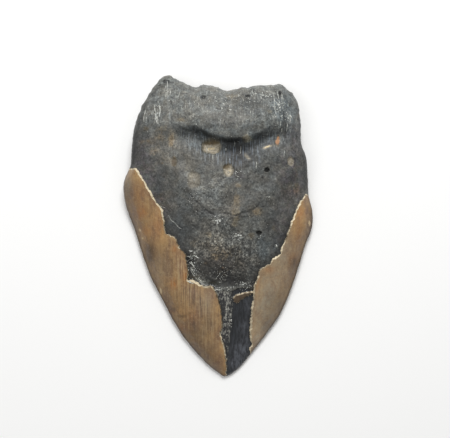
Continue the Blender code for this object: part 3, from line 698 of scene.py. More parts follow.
tone = node(tree, "VectorMath", tone, level, operation="SCALE")
purple = node(tree, "MapRange", purple, 0.4, 0.6)
purple = node(tree, "Math", purple, maroon, operation="MULTIPLY")
rust_and_pit_shade = node(tree, "Math", stain_and_pit_shade, patches, operation="ADD")
rust_and_pit_shade = node(tree, "MapRange", rust_and_pit_shade, 0.8, 1.2)
for share, filter_colour in [(purple, (1.06, 0.9, 1.1)), (rust_and_pit_shade, (1.36, 1.16, 0.9))]:
    tinted = node(tree, "VectorMath", tone, filter_colour, operation="MULTIPLY")
    tone = node(tree, "Mix", share, tone, tinted, data_type="RGBA")
bluish = node(tree, "MapRange", streaks, 0.56, 0.7, 0, 0.6)
bluish = node(tree, "Math", bluish, streak, operation="MULTIPLY")
orange = node(tree, "Math", stain_and_pit_shade, patches, operation="MULTIPLY")
cream = node(tree, "Math", filled, patches, operation="MULTIPLY")
# The sediment browns where that stain mask is high: brown stain, and painted shadow at the pits' upper
# rims.
sediment = coated(tree, colour("#7d7564"), [
    (speckle, 0.38, 0.62, 1, colour("#bdb39e")), (rust_and_pit_shade, 0, 1, 1, colour("#675941")),
    (cream, 0.55, 0.8, 1, colour("#e3cc98")),
])
cell_size = node(tree, "TexVoronoi", Vector=place, Scale=SPECKS_PER_MM, result="Color")
cell_size = node(tree, "SeparateColor", cell_size)
reach = node(tree, "Math", cell_size, 0.55, operation="MULTIPLY")
reach = node(tree, "Math", reach, sparkle, operation="MULTIPLY")
specks = node(tree, "TexVoronoi", Vector=place, Scale=SPECKS_PER_MM, result="Distance")
specks = node(tree, "Math", reach, specks, operation="SUBTRACT")
least = node(tree, "MapRange", scratch, 0, 1, 0.8, 0.58)
scratches = node(tree, "Math", scratches, least, operation="SUBTRACT")
tone = coated(tree, tone, [
    (pores, 0.38, 0.3, 0.75, colour("#1c1c1c")), (bluish, 0, 1, 1, colour("#6f7c8b")),
    (orange, 0.55, 0.85, 0.9, colour("#a9784d")), (filled, 0, 1, 1, sediment),
    (scratches, 0, 0.07, 0.7, colour("#a9aeab")), (specks, 0, 0.06, 0.85, colour("#c9cbc6")),
])
gloss = node(tree, "MapRange", glassy, 0, 1, 0.55, 0.22)
finish_material(tree, surface, tone, gloss, [(speckle, 0.25, 0.55), (streaks, 0.1, 0.4)])


# ==== The bare strip ==============================================================================
# A flake of enamel came off right down to the tip, and left a strip of black dentine: rough and
# speckled down its left half, smooth and shiny down its right, with a sliver of enamel at its top.

STRIP_DEPTH = 0.5
STRIP_RIDGE_HEIGHT = 0.45  # the rough half above the smooth one
CHIP_HEIGHT = 0.7
# Where the mineral rows lie on the rough half, and where painted sheen turns the smooth half
# bluish grey.
STRIP_GRIT = [
    (4.6, -36, 1.2, 5, 1), (5.6, -44, 0.8, 5, 1), (3.6, -43, 0.7, 6, 0.8), (5, -54, 0.6, 6, 0.7),
    (2.4, -31.6, 2.5, 1.2, 1), (2.6, -50, 0.6, 4, 0.5),
]
STRIP_PAINTED_SHEEN = [
    (11.7, -46.9, 2.2, 2.6, 0.5), (10.2, -58.4, 3.6, 3.4, 1), (8, -64, 3, 2.6, 1.1),
    (13.6, -38, 1.4, 4, 0.5), (13, -53, 2.5, 4, 0.4),
]
STRIP_TOP_STEP = (0, 1.2)
STRIP_RIDGE_STEP = (-0.5, 0.6)
STRIP_TOP = [(-2.4, -30.4), (2, -30.1), (5.4, -30.6), (9, -29), (13, -28.6), (16.4, -29.4)]
STRIP_RIDGE = [(6.9, -31.6), (6.6, -40), (5.8, -48), (4.9, -57), (4.3, -66)]
# The sliver: its broken upper edge from left to right, then its lower edge back again.
CHIP_TOP = [(7, -34), (8.4, -32.6), (12, -31.6), (16.2, -31)]
CHIP_FOOT = [(16, -31.9), (13.2, -32.9), (10.8, -34.4), (9.2, -36.2), (7.6, -35.8)]
CHIP_EDGE = 0.38
CHIP_LEVEL = 0.56


def on_chip(points):
    """1 on the sliver of enamel across the top of the strip."""
    away = distance_to(CHIP_TOP + CHIP_FOOT, points, closed=True)
    away[inside(CHIP_TOP + CHIP_FOOT, points)] = 0
    return 1 - fade(0, CHIP_EDGE, away)


def on_strip(points):
    """1 on the strip, and how far onto its smooth right half each point is."""
    x, y = points.T
    ridge_x = np.interp(y, *np.array(STRIP_RIDGE[::-1])[:, ::-1].T)
    return fade(*STRIP_TOP_STEP, profile(STRIP_TOP, x) - y), fade(*STRIP_RIDGE_STEP, x - ridge_x)


def strip_depth(points):
    """How far the strip lies below the dentine's arch."""
    below_top, smooth = on_strip(points)
    return below_top * (STRIP_DEPTH + STRIP_RIDGE_HEIGHT * smooth) - CHIP_HEIGHT * on_chip(points)


# Polished black dentine: close to black glass, finely grooved lengthways. Painted sheen lightens
# it to blue-grey in patches and along the grooves, as reflections would. Its rough half is dull
# black, peppered with grey and cream mineral in lengthways rows.
polished, tree, surface, place, painted_sheen, gritty, smooth, grooves_and_reflections, blotches, pepper = start_material(
    "polished black dentine", 0.25, 1.6, ["painted_sheen", "gritty", "smooth"],
    [((1, 0.06, 0.06), 0.5, 3, 0.5), ((1, 0.3, 0.3), 0.9, 4, 0.7), ((1, 0.4, 0.4), 0.7, 3, 0.7)],
)
blotches = node(tree, "MapRange", blotches, 0.38, 0.62, 0.1)
painted_sheen = node(tree, "Math", painted_sheen, blotches, operation="MULTIPLY")
black = coated(tree, colour("#0b0c0f"), [
    (grooves_and_reflections, 0.42, 0.7, 0.7, colour("#2d3136")), (painted_sheen, 0, 1, 1, colour("#575a60")),
])
grit = node(tree, "Math", gritty, 0.11, operation="MULTIPLY")
grit = node(tree, "Math", pepper, grit, operation="ADD")
peppered = coated(tree, colour("#1c1c1d"), [(grit, 0.55, 0.72, 1, colour("#a19f95"))])
tint = node(tree, "Mix", smooth, peppered, black, data_type="RGBA")
gloss = node(tree, "MapRange", smooth, 0, 1, 0.6, 0.24)
finish_material(tree, surface, tint, gloss, [(pepper, 0.2, 0.35), (grooves_and_reflections, 0.06, 0.5)])


# ==== The labial face =============================================================================
# The tooth lies on this side: almost flat, its enamel whole but cracked lengthways, and ending at
# the root in an arch.

BASE_LIFT_WIDTH = 12
BASE_ROOT_SET_BACK = 0.5  # the root lies this far above the flat enamel
BASE_SET_BACK_WIDTH = 4  # no set-back or crack at the outline, all of it this far in
BASE_BLEND_WIDTH = 5  # over which its tones turn into those of the lingual face
BASE_ENAMEL_LEVEL = 0.95
BASE_ROOT_LEVEL = 0.4
BASE_CRACK_DEPTH = 0.6
BASE_CRACK_HALF_WIDTH = 0.7
BASE_CRACK_STAIN = 0.9
ARCH_SPACING = 0.8
ARCH_STEP = 0.6
BASE_ARCH = [(-43.2, 22), (-32, 27.5), (-16, 31.5), (0, 33), (16, 30.5), (30, 24.5), (42.4, 13.5)]
BASE_CRACKS = [
    [(-14, 24), (-12.5, 8), (-9, -10), (-6, -28)],
    [(17, 20), (15, 4), (12.5, -14)],
]


def above_arch(points):
    """0 on the labial enamel and 1 on the root above it."""
    return fade(0, ARCH_STEP, points[:, 1] - profile(BASE_ARCH, points[:, 0]))


def base_height(points, rim):
    """Height of the labial face: flat on the ground in the middle, lifting towards the outline."""
    root = rootness(points)
    near = 1 - np.clip(rim / BASE_LIFT_WIDTH, 0, 1)
    lift = blend(near**2, 1 - rise(rim / BASE_LIFT_WIDTH), root)
    set_back = BASE_ROOT_SET_BACK * above_arch(points)
    for crack in BASE_CRACKS:
        beside_crack = np.clip(distance_to(crack, points) / BASE_CRACK_HALF_WIDTH, 0, 1)
        set_back = np.maximum(set_back, BASE_CRACK_DEPTH * (1 - beside_crack))
    return profile(EDGE_HEIGHT, points[:, 1]) * lift + set_back * fade(0, BASE_SET_BACK_WIDTH, rim)


# ==== The tooth itself ============================================================================
# The two faces meet round the outline in one closed skin. Its points are densest on the bare
# dentine, and a row of edges runs along each break, so that the enamel ends in a crisp step.

BARE_SPACING = 0.41
ENAMEL_SPACING = 0.62
BASE_SPACING = 0.9
BULGE_START = (-2, 14)  # how far in from the outline the root's bulge sets in and is full
SHARP_ANGLE = 42  # between faces, past which an edge is crisp
# Rows of points inside the outline, each this far in from it.
TOP_STEPS_IN = [0.013, 0.05, 0.11, 0.2, 0.32, 0.48, 0.7, 1.0, 1.4]
BASE_STEPS_IN = [0.03, 0.12, 0.3, 0.6, 1.1]
RING_CLEARANCE = 0.8  # a row's points lie at least this share of its step inside the outline
LINE_CLEARANCE = 0.4  # and the points of a break this far
POINT_CLEARANCE = 0.45  # the other points keep this share of their spacing clear of a break
ENAMEL_REGION, BROKEN_REGION, DENTINE_REGION, STRIP_REGION = range(4)


def rise(share):
    """Quarter round: steep at the outline and level at the end."""
    return np.sqrt(1 - (1 - np.clip(share, 0, 1)) ** 2)


def from_outline(points):
    """Distance from each point to the outline."""
    return distance_to(coarse_outline, points, closed=True)


def staggered(spacing):
    """Points in staggered rows over the whole plan."""
    low = outline.min(axis=0)
    high = outline.max(axis=0)
    rows = []
    for row, y in enumerate(np.arange(low[1], high[1], spacing * math.sqrt(0.75))):
        x = np.arange(low[0] + (row % 2) * spacing / 2, high[0], spacing)
        rows.append(np.stack([x, np.full(len(x), y)], axis=1))
    return np.concatenate(rows)


def sheet(lines, fields, steps_in):
    """Plan points and triangles inside the outline, with an edge along each of the lines."""
    filled = []
    for step in steps_in:
        ring = beside(outline, step)
        filled.append((RIM_SPACING, ring[from_outline(ring) > RING_CLEARANCE * step]))
    for spacing, chosen in fields:
        grid = staggered(spacing)
        grid = grid[inside(coarse_outline, grid)]
        grid = grid[from_outline(grid) > steps_in[-1] + spacing / 2]
        filled.append((spacing, grid[chosen(grid)]))
    lines = [line[from_outline(line) > LINE_CLEARANCE] for line in lines]
    for i, (spacing, points) in enumerate(filled):
        for line in lines:
            points = points[distance_to(line, points) > POINT_CLEARANCE * spacing]
        filled[i] = points
    count = len(outline)
    edges = [(i, (i + 1) % count) for i in range(count)]
    for line in lines:
        edges += [(i, i + 1) for i in range(count, count + len(line) - 1)]
        count += len(line)
    corners = [Vector(point) for point in np.concatenate([outline] + lines + filled)]
    found, _, faces, origins, _, _ = delaunay_2d_cdt(corners, edges, [], 0, 1e-5)
    points = np.array(found)
    faces = np.array(faces)
    faces = faces[inside(outline, points[faces].mean(axis=1))]
    first = {origin: i for i, listed in enumerate(origins) for origin in listed}
    return points, faces, [first[i] for i in range(len(outline))]


def top_height(points, rim, cover):
    """Height of the lingual face, where rim is the distance to the outline."""
    body = body_height(points)
    bare = dentine_relief(points) - strip_depth(points)
    body += fade(0, ENAMEL_SETTLE, rim) * (cover * ENAMEL_THICKNESS + (1 - cover) * bare)
    body += bulge(points) * fade(*BULGE_START, rim)
    rounding = blend(BLADE_ROUNDING, ROOT_ROUNDING, rootness(points))
    return blend(profile(EDGE_HEIGHT, points[:, 1]), body, rise(rim / rounding))


# Lighter by the break: partly paler enamel, partly painted light. Darker by the cutting edge: painted
# shade.
ENAMEL_LEVEL = 0.93
PALE_BREAK = 0.13
PALE_BREAK_WIDTH = 10
EDGE_PAINTED_SHADE = 0.3  # the cutting edge itself
EDGE_PAINTED_SHADE_WIDTH = 0.7
SIDE_PAINTED_SHADE = 0.08  # and the enamel beside it
SIDE_PAINTED_SHADE_WIDTH = 7


def enamel_level(points, rim, from_break):
    """How light the enamel is: palest along the break (partly painted light), darkest along the cutting
    edge (painted shade).
    """
    level = ENAMEL_LEVEL + PALE_BREAK * (1 - fade(0, PALE_BREAK_WIDTH, from_break))
    level -= EDGE_PAINTED_SHADE * ridge(rim, EDGE_PAINTED_SHADE_WIDTH) + SIDE_PAINTED_SHADE * (1 - fade(0, SIDE_PAINTED_SHADE_WIDTH, rim))
    return level + spots(points, ENAMEL_LIGHT)


# The masks that come from soft marks alone, each held between 0 and 1.
MARKED = {
    "haze": ENAMEL_HAZE, "dark": ENAMEL_DARK, "lined": ENAMEL_LINES, "scratch": SCRATCH_MARKS,
    "maroon": DENTINE_MAROON, "mottled": DENTINE_MOTTLED, "gritty": STRIP_GRIT,
}
STREAKS_UNDER_LIP = (-1, 3, 9, 16)
ROOT_STREAKS = 0.25
GLASSINESS = 1.2
LEAST_PAINTED_SHEEN = 0.15
SMOOTHNESS = 0.85  # how much of the grit is gone from the strip's smooth half
LOOSE_WIDTH = 1.6  # the outline itself doesn't wander


def top_masks(points, rim, cover):
    """What each point of the lingual face tells its material and its relief."""
    x, y = points.T
    below_top, smooth = on_strip(points)
    under_lip = profile(LIP, x) - y
    in_hollow = between(STREAKS_UNDER_LIP, under_lip) * profile(LIP_SHARPNESS, x)
    sediment = sum(pit[4] * in_pit(points, pit) for pit in PITS)
    from_break = np.minimum(distance_to(left_edge, points), distance_to(right_edge, points))
    gritty_root = blend(0.7, 1, fade(-1, 3, -under_lip))
    enamelled = cover > 0.5
    bare = np.where(on_chip(points) > 0.5, CHIP_LEVEL, dentine_level(points, from_break))
    masks = {name: np.clip(spots(points, marks), 0, 1) for name, marks in MARKED.items()}
    return masks | {
        "level": np.where(enamelled, enamel_level(points, rim, from_break), bare),
        "fresh": spots(points, BREAK_FRESH),
        "warm": np.clip(spots(points, WARM_MARKS), -1, 1),
        "rust_and_pit_shade": np.clip(spots(points, ENAMEL_RUST), 0, 1) * enamelled + spots(points, DENTINE_RUST_AND_PIT_SHADE),
        "sparkle": np.clip(spots(points, SPARKLE_MARKS), 0, 1) * (1 - cover),
        "streak": np.clip(in_hollow + ROOT_STREAKS * fade(0, 4, -under_lip), 0, 1),
        "glassy": np.clip(GLASSINESS * beside_shelf(points), 0, 1),
        "sediment": np.clip(sediment, 0, 1) + spots(points, SEDIMENT_MARKS),
        "smooth": smooth,
        "painted_sheen": np.clip(LEAST_PAINTED_SHEEN + spots(points, STRIP_PAINTED_SHEEN), 0, 1),
        "grit": (1 - cover) * (1 - SMOOTHNESS * smooth * below_top) * gritty_root,
        "loose": fade(0, LOOSE_WIDTH, rim),
        "under": 0 * rim,
    }


def base_masks(points, rim):
    """The masks of the labial face that aren't 0: at the outline they are as on the other face."""
    root = above_arch(points)
    from_break = rim + FAR
    like_top = 1 - fade(0, BASE_BLEND_WIDTH, rim)
    enamel_tone = blend(BASE_ENAMEL_LEVEL, enamel_level(points, rim, from_break), like_top)
    root_tone = blend(BASE_ROOT_LEVEL, dentine_level(points, from_break), like_top)
    near_crack = 0 * rim
    whole = np.ones(len(points))
    for crack in BASE_CRACKS:
        near_crack = np.maximum(near_crack, ridge(distance_to(crack, points), BASE_CRACK_STAIN))
    return {
        "level": blend(enamel_tone, root_tone, root), "dark": near_crack,
        "haze": 0.3 * whole, "warm": 0.3 * whole, "lined": 0.6 * whole,
        "grit": 0.5 * root, "scratch": 0.3 * root, "under": whole,
    }


def bare_ground(points):
    """Whether each point is bare dentine or root."""
    return enamel_left(points) < 0.5


def enamelled_ground(points):
    """Whether each point is on an enamel band."""
    return ~bare_ground(points)


def all_ground(points):
    """True for every point."""
    return np.full(len(points), True)


def tooth_skin():
    """The closed mesh of the tooth, with its masks on its points and its regions on its faces."""
    breaks = []
    for edge, _, side in enamel_bands:
        breaks += [edge, beside(edge, side * break_width(edge))]
    fields = [(BARE_SPACING, bare_ground), (ENAMEL_SPACING, enamelled_ground)]
    top, top_faces, top_rim = sheet(breaks, fields, TOP_STEPS_IN)
    arch = curve_through(BASE_ARCH, ARCH_SPACING)
    fields = [(BASE_SPACING, all_ground)]
    base, base_faces, base_rim = sheet([arch, arch + (0, ARCH_STEP)], fields, BASE_STEPS_IN)
    cover = enamel_left(top)
    rim = from_outline(top)
    top_z = top_height(top, rim, cover)
    top_z[top_rim] = profile(EDGE_HEIGHT, top[top_rim, 1])
    base_z = base_height(base, from_outline(base))
    masks = top_masks(top, rim, cover)
    under = base_masks(base, from_outline(base))

    share = cover[top_faces].mean(axis=1)
    middle = top[top_faces].mean(axis=1)
    region = np.full(len(top_faces), DENTINE_REGION)
    region[on_strip(middle)[0] > 0.5] = STRIP_REGION
    region[(share > 0.15) | (on_chip(middle) > 0.3)] = BROKEN_REGION
    on_sliver = (on_chip(middle) > 0.6) & (distance_to(CHIP_TOP, middle) > CHIP_EDGE)
    region[(share > 0.97) | on_sliver] = ENAMEL_REGION
    on_root = above_arch(base)[base_faces].mean(axis=1) > 0.5
    region = np.concatenate([region, np.where(on_root, DENTINE_REGION, ENAMEL_REGION)])

    renumber = np.arange(len(base)) + len(top)
    renumber[base_rim] = top_rim
    faces = np.concatenate([top_faces, renumber[base_faces][:, ::-1]])
    corners = np.concatenate([np.column_stack([top, top_z]), np.column_stack([base, base_z])])
    used, faces = np.unique(faces, return_inverse=True)
    mesh = bpy.data.meshes.new("tooth_skin")
    mesh.from_pydata((corners[used] * MM).tolist(), [], faces.reshape(-1, 3).tolist())
    for name, values in masks.items():
        stored = mesh.attributes.new(name, "FLOAT", "POINT")
        values = np.concatenate([values, under.get(name, 0 * base_z)])
        stored.data.foreach_set("value", values[used].astype(np.float32))
    stored = mesh.attributes.new("region", "INT", "FACE")
    stored.data.foreach_set("value", region.astype(np.int32))
    return mesh


def geometry_tree(name, inputs, masks):
    """A Geometry Nodes tree: its inputs by name, its outputs, the place, and the masks that it reads."""
    tree = bpy.data.node_groups.new(name, "GeometryNodeTree")
    tree.interface.new_socket("Mesh", in_out="OUTPUT", socket_type="NodeSocketGeometry")
    for label, kind in [("Mesh", "Geometry"), *inputs.items()]:
        tree.interface.new_socket(label, in_out="INPUT", socket_type="NodeSocket" + kind)
    sizes = tree.nodes.new("NodeGroupInput").outputs
    leaves = tree.nodes.new("NodeGroupOutput").inputs
    reads = [node(tree, "GeometryNodeInputPosition")]
    for mask in masks:
        reads.append(node(tree, "GeometryNodeInputNamedAttribute", Name=mask, data_type="FLOAT"))
    return tree, sizes, leaves, *reads


def run_tree(name, mesh, tree, values):
    """An object with the plain mesh that the tree makes of the given one."""
    made = bpy.data.objects.new(name, mesh)
    bpy.context.scene.collection.objects.link(made)
    modifier = made.modifiers.new(tree.name, "NODES")
    modifier.node_group = tree
    for socket in tree.interface.items_tree:
        if socket.in_out == "INPUT" and socket.name in values:
            modifier[socket.identifier] = values[socket.name]
    depsgraph = bpy.context.evaluated_depsgraph_get()
    plain = bpy.data.meshes.new_from_object(
        made.evaluated_get(depsgraph), preserve_all_data_layers=True, depsgraph=depsgraph
    )
    made.modifiers.remove(modifier)
    made.data = plain
    return made


# The weathering of the surface: it wanders sideways a little, so that breaks and edges are ragged,
# then gets grain, pores and wear along its normals, and each region gets its material.
tree, sizes, leaves, place, loose, grit, under = geometry_tree("weathered surface", {
    "Wander": "Float", "Wander size": "Float", "Grain depth": "Float", "Grain size": "Float",
    "Pore depth": "Float", "Pore spacing": "Float", "Wear depth": "Float", "Wear size": "Float",
    "Enamel": "Material", "Broken edge": "Material", "Dentine": "Material", "Strip": "Material",
}, ["loose", "grit", "under"])
scale = node(tree, "Math", 1, sizes["Wander size"], operation="DIVIDE")
wander = node(tree, "TexNoise", Vector=place, Scale=scale, Detail=2.5, result="Color")
wander = node(tree, "VectorMath", wander, (0.5, 0.5, 0.5), operation="SUBTRACT")
wander = node(tree, "VectorMath", wander, (1, 1, 0), operation="MULTIPLY")
wander = node(tree, "VectorMath", wander, sizes["Wander"], operation="SCALE")
wander = node(tree, "VectorMath", wander, loose, operation="SCALE")
skin = node(tree, "GeometryNodeSetPosition", Geometry=sizes["Mesh"], Offset=wander)
waves = []
for name, detail, ragged in [("Grain", 3, 0.7), ("Wear", 2, 0.5)]:
    scale = node(tree, "Math", 1, sizes[name + " size"], operation="DIVIDE")
    wave = node(tree, "TexNoise", Vector=place, Scale=scale, Detail=detail, Roughness=ragged)
    wave = node(tree, "Math", wave, 0.5, operation="SUBTRACT")
    waves.append(node(tree, "Math", wave, sizes[name + " depth"], operation="MULTIPLY"))
grain, wear = waves
scale = node(tree, "Math", 1, sizes["Pore spacing"], operation="DIVIDE")
pore = node(tree, "TexVoronoi", Vector=place, Scale=scale, result="Distance")
pore = node(tree, "MapRange", pore, 0.1, 0.36, 1, 0)
pore = node(tree, "Math", pore, sizes["Pore depth"], operation="MULTIPLY")
rough = node(tree, "Math", grain, pore, operation="SUBTRACT")
rough = node(tree, "Math", rough, grit, operation="MULTIPLY")
rough = node(tree, "Math", rough, wear, operation="ADD")
inward = node(tree, "Math", rough, operation="ABSOLUTE")
inward = node(tree, "Math", inward, -1, operation="MULTIPLY")
rough = node(tree, "Mix", under, rough, inward)
normal = node(tree, "GeometryNodeInputNormal")
offset = node(tree, "VectorMath", normal, rough, operation="SCALE")
skin = node(tree, "GeometryNodeSetPosition", Geometry=skin, Offset=offset)
region = node(tree, "GeometryNodeInputNamedAttribute", Name="region", data_type="INT")
for number, finish in enumerate(["Enamel", "Broken edge", "Dentine", "Strip"]):
    chosen = node(tree, "FunctionNodeCompare", region, number, data_type="INT", operation="EQUAL")
    skin = node(tree, "GeometryNodeSetMaterial", Geometry=skin, Selection=chosen, Material=sizes[finish])
skin = node(tree, "GeometryNodeRealizeInstances", Geometry=skin)
tree.links.new(skin, leaves[0])

tooth = run_tree("tooth_body", tooth_skin(), tree, {
    "Wander": 0.9 * MM, "Wander size": 2.2 * MM, "Grain depth": 0.45 * MM, "Grain size": 1.3 * MM,
    "Pore depth": 0.22 * MM, "Pore spacing": 2.1 * MM, "Wear depth": 0.25 * MM, "Wear size": 5 * MM,
    "Enamel": enamel, "Broken edge": broken, "Dentine": dentine, "Strip": polished,
})
tooth.data.shade_smooth()
tooth.data.set_sharp_from_angle(angle=math.radians(SHARP_ANGLE))
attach(tooth, "root")
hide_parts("tooth")


# ==== The pale veins ==============================================================================
# Cracks in the dentine that filled with white mineral while the tooth lay buried. They stand a hair
# proud of it, along the foot of the bare dentine and in the glassy groove, where the brightest
# strokes are painted highlights.

VEIN_SIDES = 6
VEIN_STEP = 0.3
VEIN_TAPER = 0.35  # radians cut from both ends of a half wave: the larger, the blunter the vein
ABOVE_TOOTH = 60
# Half thickness, and the path in plan.
VEINS_AND_GLINTS = [
    (0.14, [(-12.9, -20.8), (-11.9, -22.2), (-10.4, -24.6), (-8, -26.7), (-5, -28.6)]),
    # A painted highlight on the glassy groove.
    (0.50, [(-12.3, -17.4), (-11.7, -18.5), (-10.8, -19.7)]),
    # A painted highlight along the top of the shelf's break.
    (0.35, [(-14.1, -26.3), (-12.6, -26.8), (-11, -27.4)]),
    (0.30, [(-13.2, -12.3), (-12.4, -12.6), (-11.4, -12.4)]),
    (0.30, [(-10.6, -14.8), (-9.7, -15.1), (-8.8, -15.8)]),
    (0.18, [(-12.6, -20), (-11.5, -21.6), (-10.5, -23)]),
    (0.30, [(-9.4, -24.6), (-8.2, -25.8), (-6.8, -26.8)]),
    (0.12, [(-23, 4.1), (-22.2, 3.2), (-21.4, 1.6), (-19.7, 0.4), (-18.4, -1.2), (-16.7, -2.4)]),
    (0.12, [(-26.6, 8.1), (-25, 7.6), (-23.5, 6.9)]),
    (0.22, [(-1.6, -29.8), (0, -30.2), (1.2, -30.4)]),
    (0.10, [(9.6, -28.3), (11.4, -27.6), (13.6, -26.9)]),
    (0.26, [(-26.7, 54.2), (-26.4, 51.5), (-26.7, 49.2)]),
    (0.18, [(-28.9, 53.4), (-28.6, 50.6), (-28.7, 47.6)]),
    (0.24, [(-28.3, 48.8), (-28.1, 47), (-27.6, 45.6)]),
    (0.14, [(-23.9, 62), (-24, 60), (-24.1, 57.6)]),
    (0.16, [(-17.4, 61.6), (-17.8, 59.6), (-18.6, 57.4)]),
    (0.16, [(25.6, 61.2), (25.7, 58), (25.7, 54.8)]),
    (0.16, [(29.7, 61.2), (29.9, 57), (29.7, 52.4)]),
    (0.20, [(28.7, 46.8), (28.6, 45.2), (28.4, 43.8)]),
    (0.16, [(31.9, 46.4), (31.8, 44.4), (31.6, 42.4)]),
    (0.18, [(-1.2, 58.8), (-1.3, 57.2), (-1.4, 56.4)]),
    (0.42, [(-0.9, 55.7), (-0.3, 55.2)]),
    (0.42, [(2.3, 54.5), (2.9, 54)]),
    (0.48, [(5.2, 51.2), (6.4, 50.9)]),
    (0.38, [(1.7, 52.2), (2.1, 51.7)]),
    (0.42, [(17.2, 60.4), (17.7, 59.6)]),
    (0.46, [(22.2, 61.2), (23, 60.8)]),
    (0.38, [(20.5, 59.2), (20.9, 58.6)]),
    (0.36, [(9.2, 59.2), (9.8, 58.8)]),
    (0.50, [(32.6, 49.8), (33.4, 49.3), (33.8, 48.7)]),
    (0.50, [(26.7, -9.3), (27, -10), (27.2, -10.8)]),
]
# Clusters of white crystals: middle, spread along X and Y, and how many. Those at (-0.2, 1.3),
# (8.8, -5.9) and (28, 54.2), and those round the glassy groove, are painted glints.
CRYSTALS_AND_GLINTS = [
    (-0.2, 1.3, 1.1, 0.6, 12), (8.8, -5.9, 1.4, 0.6, 12), (28, 54.2, 1.4, 1, 20),
    (33.3, 49.2, 0.5, 0.4, 6), (27, -10.4, 0.15, 0.35, 7), (23.4, 12.1, 0.25, 0.5, 6), (0, 53, 8, 5, 22),
    (19, 59.5, 5, 1.6, 18), (-12, 55, 8, 5, 6), (20, -6.4, 0.6, 0.3, 3), (-11, -13.4, 0.8, 0.8, 5),
    (-25, 58, 4, 4, 6), (5.9, -43.2, 0.15, 1.8, 6), (8.8, 22, 0.6, 2, 5), (33.6, 28.8, 0.3, 0.8, 2),
    (1, -24.5, 1, 1.2, 4), (-8, 9, 8, 5, 8), (29, 49, 2, 1.2, 8), (-11.8, -15, 0.9, 0.5, 8),
    (-12.4, -17.8, 0.4, 1, 8), (-11.2, -20.3, 0.8, 1.4, 9), (-9.8, -24, 1.1, 1.5, 9),
    (-7, -26.8, 1.4, 0.8, 7), (-13, -26.4, 0.7, 0.3, 4), (1, -30.3, 2, 0.3, 7), (12.6, -27.4, 2, 0.7, 7),
]
CRYSTAL_LENGTH = 0.42
CRYSTAL_HALF_THICKNESS = (0.16, 0.4)
# Clusters of hair scratches: middle, spread along X and Y, and how many.
SCRATCHES = [
    (-28.2, 50, 1.2, 3, 9), (-22, 59.5, 3, 2, 5), (28, 52, 2.2, 4, 12), (0, 54, 16, 5, 12),
    (29.6, 42, 2, 2.4, 6), (8, 31, 8, 3, 8), (-34, 48, 1.2, 3, 4), (20, 58, 4, 2, 5), (-14, 55, 3, 3, 3),
]
SCRATCH_LENGTH = (1.2, 4.0)
SCRATCH_HALF_THICKNESS = (0.1, 0.2)
SCRATCH_LEAN = 0.09
SCRATCH_MARGIN = 2  # no scratch or crystal comes nearer to the outline
SCRATCH_SEED = 5


def scratch_paths():
    """Short paths scattered about each cluster's middle: scratches run nearly up and down."""
    draw = np.random.default_rng(SCRATCH_SEED)
    paths = []
    for clusters, thickness in [(SCRATCHES, SCRATCH_HALF_THICKNESS), (CRYSTALS_AND_GLINTS, CRYSTAL_HALF_THICKNESS)]:
        for x, y, spread_x, spread_y, count in clusters:
            for _ in range(count):
                start = np.array([draw.normal(x, spread_x), draw.normal(y, spread_y)])
                if clusters is SCRATCHES:
                    run = draw.uniform(*SCRATCH_LENGTH) * np.array([draw.normal(0, SCRATCH_LEAN), 1])
                else:
                    run = CRYSTAL_LENGTH * draw.uniform(-1, 1, 2)
                paths.append((draw.uniform(*thickness), [start, start + run / 2, start + run]))
    within = beside(outline, SCRATCH_MARGIN)
    return [path for path in paths if inside(within, np.array(path[1])).all()]


def on_surface(points):
    """The places on the finished tooth straight under the plan points."""
    down = Vector((0, 0, -1))
    return [tooth.ray_cast(Vector((x, y, ABOVE_TOOTH)) * MM, down)[1] for x, y in points]


def vein_paths():
    """A mesh of edges along the veins, with their half thicknesses on its points."""
    corners = []
    edges = []
    thick = []
    for half, path in VEINS_AND_GLINTS + scratch_paths():
        line = on_surface(curve_through(path, VEIN_STEP))
        edges += [(i, i + 1) for i in range(len(corners), len(corners) + len(line) - 1)]
        corners += line
        taper = np.sin(np.linspace(VEIN_TAPER, math.pi - VEIN_TAPER, len(line)))
        thick += list(half * MM * taper)
    mesh = bpy.data.meshes.new("vein_paths")
    mesh.from_pydata(corners, edges, [])
    stored = mesh.attributes.new("thick", "FLOAT", "POINT")
    stored.data.foreach_set("value", np.array(thick, np.float32))
    return mesh


# Vein mineral: off-white calcite, a little glassy, greyer where it is thin. Its white also makes
# the painted glints.
calcite, tree, surface, place, clouds = start_material(
    "pale calcite and glints", 0.4, 1.57, patterns=[(EVEN, 0.8, 3, 0.5)]
)
tint = coated(tree, colour("#858a80"), [(clouds, 0.35, 0.6, 1, colour("#e0e1da"))])
finish_material(tree, surface, tint, None, [])

tree, sizes, leaves, place, thick = geometry_tree("mineral veins", {
    "Sides": "Int", "Unevenness": "Float", "Lump size": "Float", "Vein": "Material",
}, ["thick"])
curve = node(tree, "GeometryNodeMeshToCurve", Mesh=sizes["Mesh"])
scale = node(tree, "Math", 1, sizes["Lump size"], operation="DIVIDE")
lump = node(tree, "TexNoise", Vector=place, Scale=scale, Detail=2)
uneven = node(tree, "MapRange", lump, 0.3, 0.62, 0.35)
thick = node(tree, "Math", thick, uneven, operation="MULTIPLY")
ring = node(tree, "GeometryNodeCurvePrimitiveCircle", Resolution=sizes["Sides"], Radius=1)
vein = node(tree, "GeometryNodeCurveToMesh", Curve=curve, Profile_Curve=ring, Scale=thick, Fill_Caps=True)
shake = node(tree, "TexNoise", Vector=place, Scale=scale, Detail=2, result="Color")
shake = node(tree, "VectorMath", shake, (0.5, 0.5, 0.5), operation="SUBTRACT")
shake = node(tree, "VectorMath", shake, sizes["Unevenness"], operation="SCALE")
vein = node(tree, "GeometryNodeSetPosition", Geometry=vein, Offset=shake)
vein = node(tree, "GeometryNodeSetMaterial", Geometry=vein, Material=sizes["Vein"])
vein = node(tree, "GeometryNodeRealizeInstances", Geometry=vein)
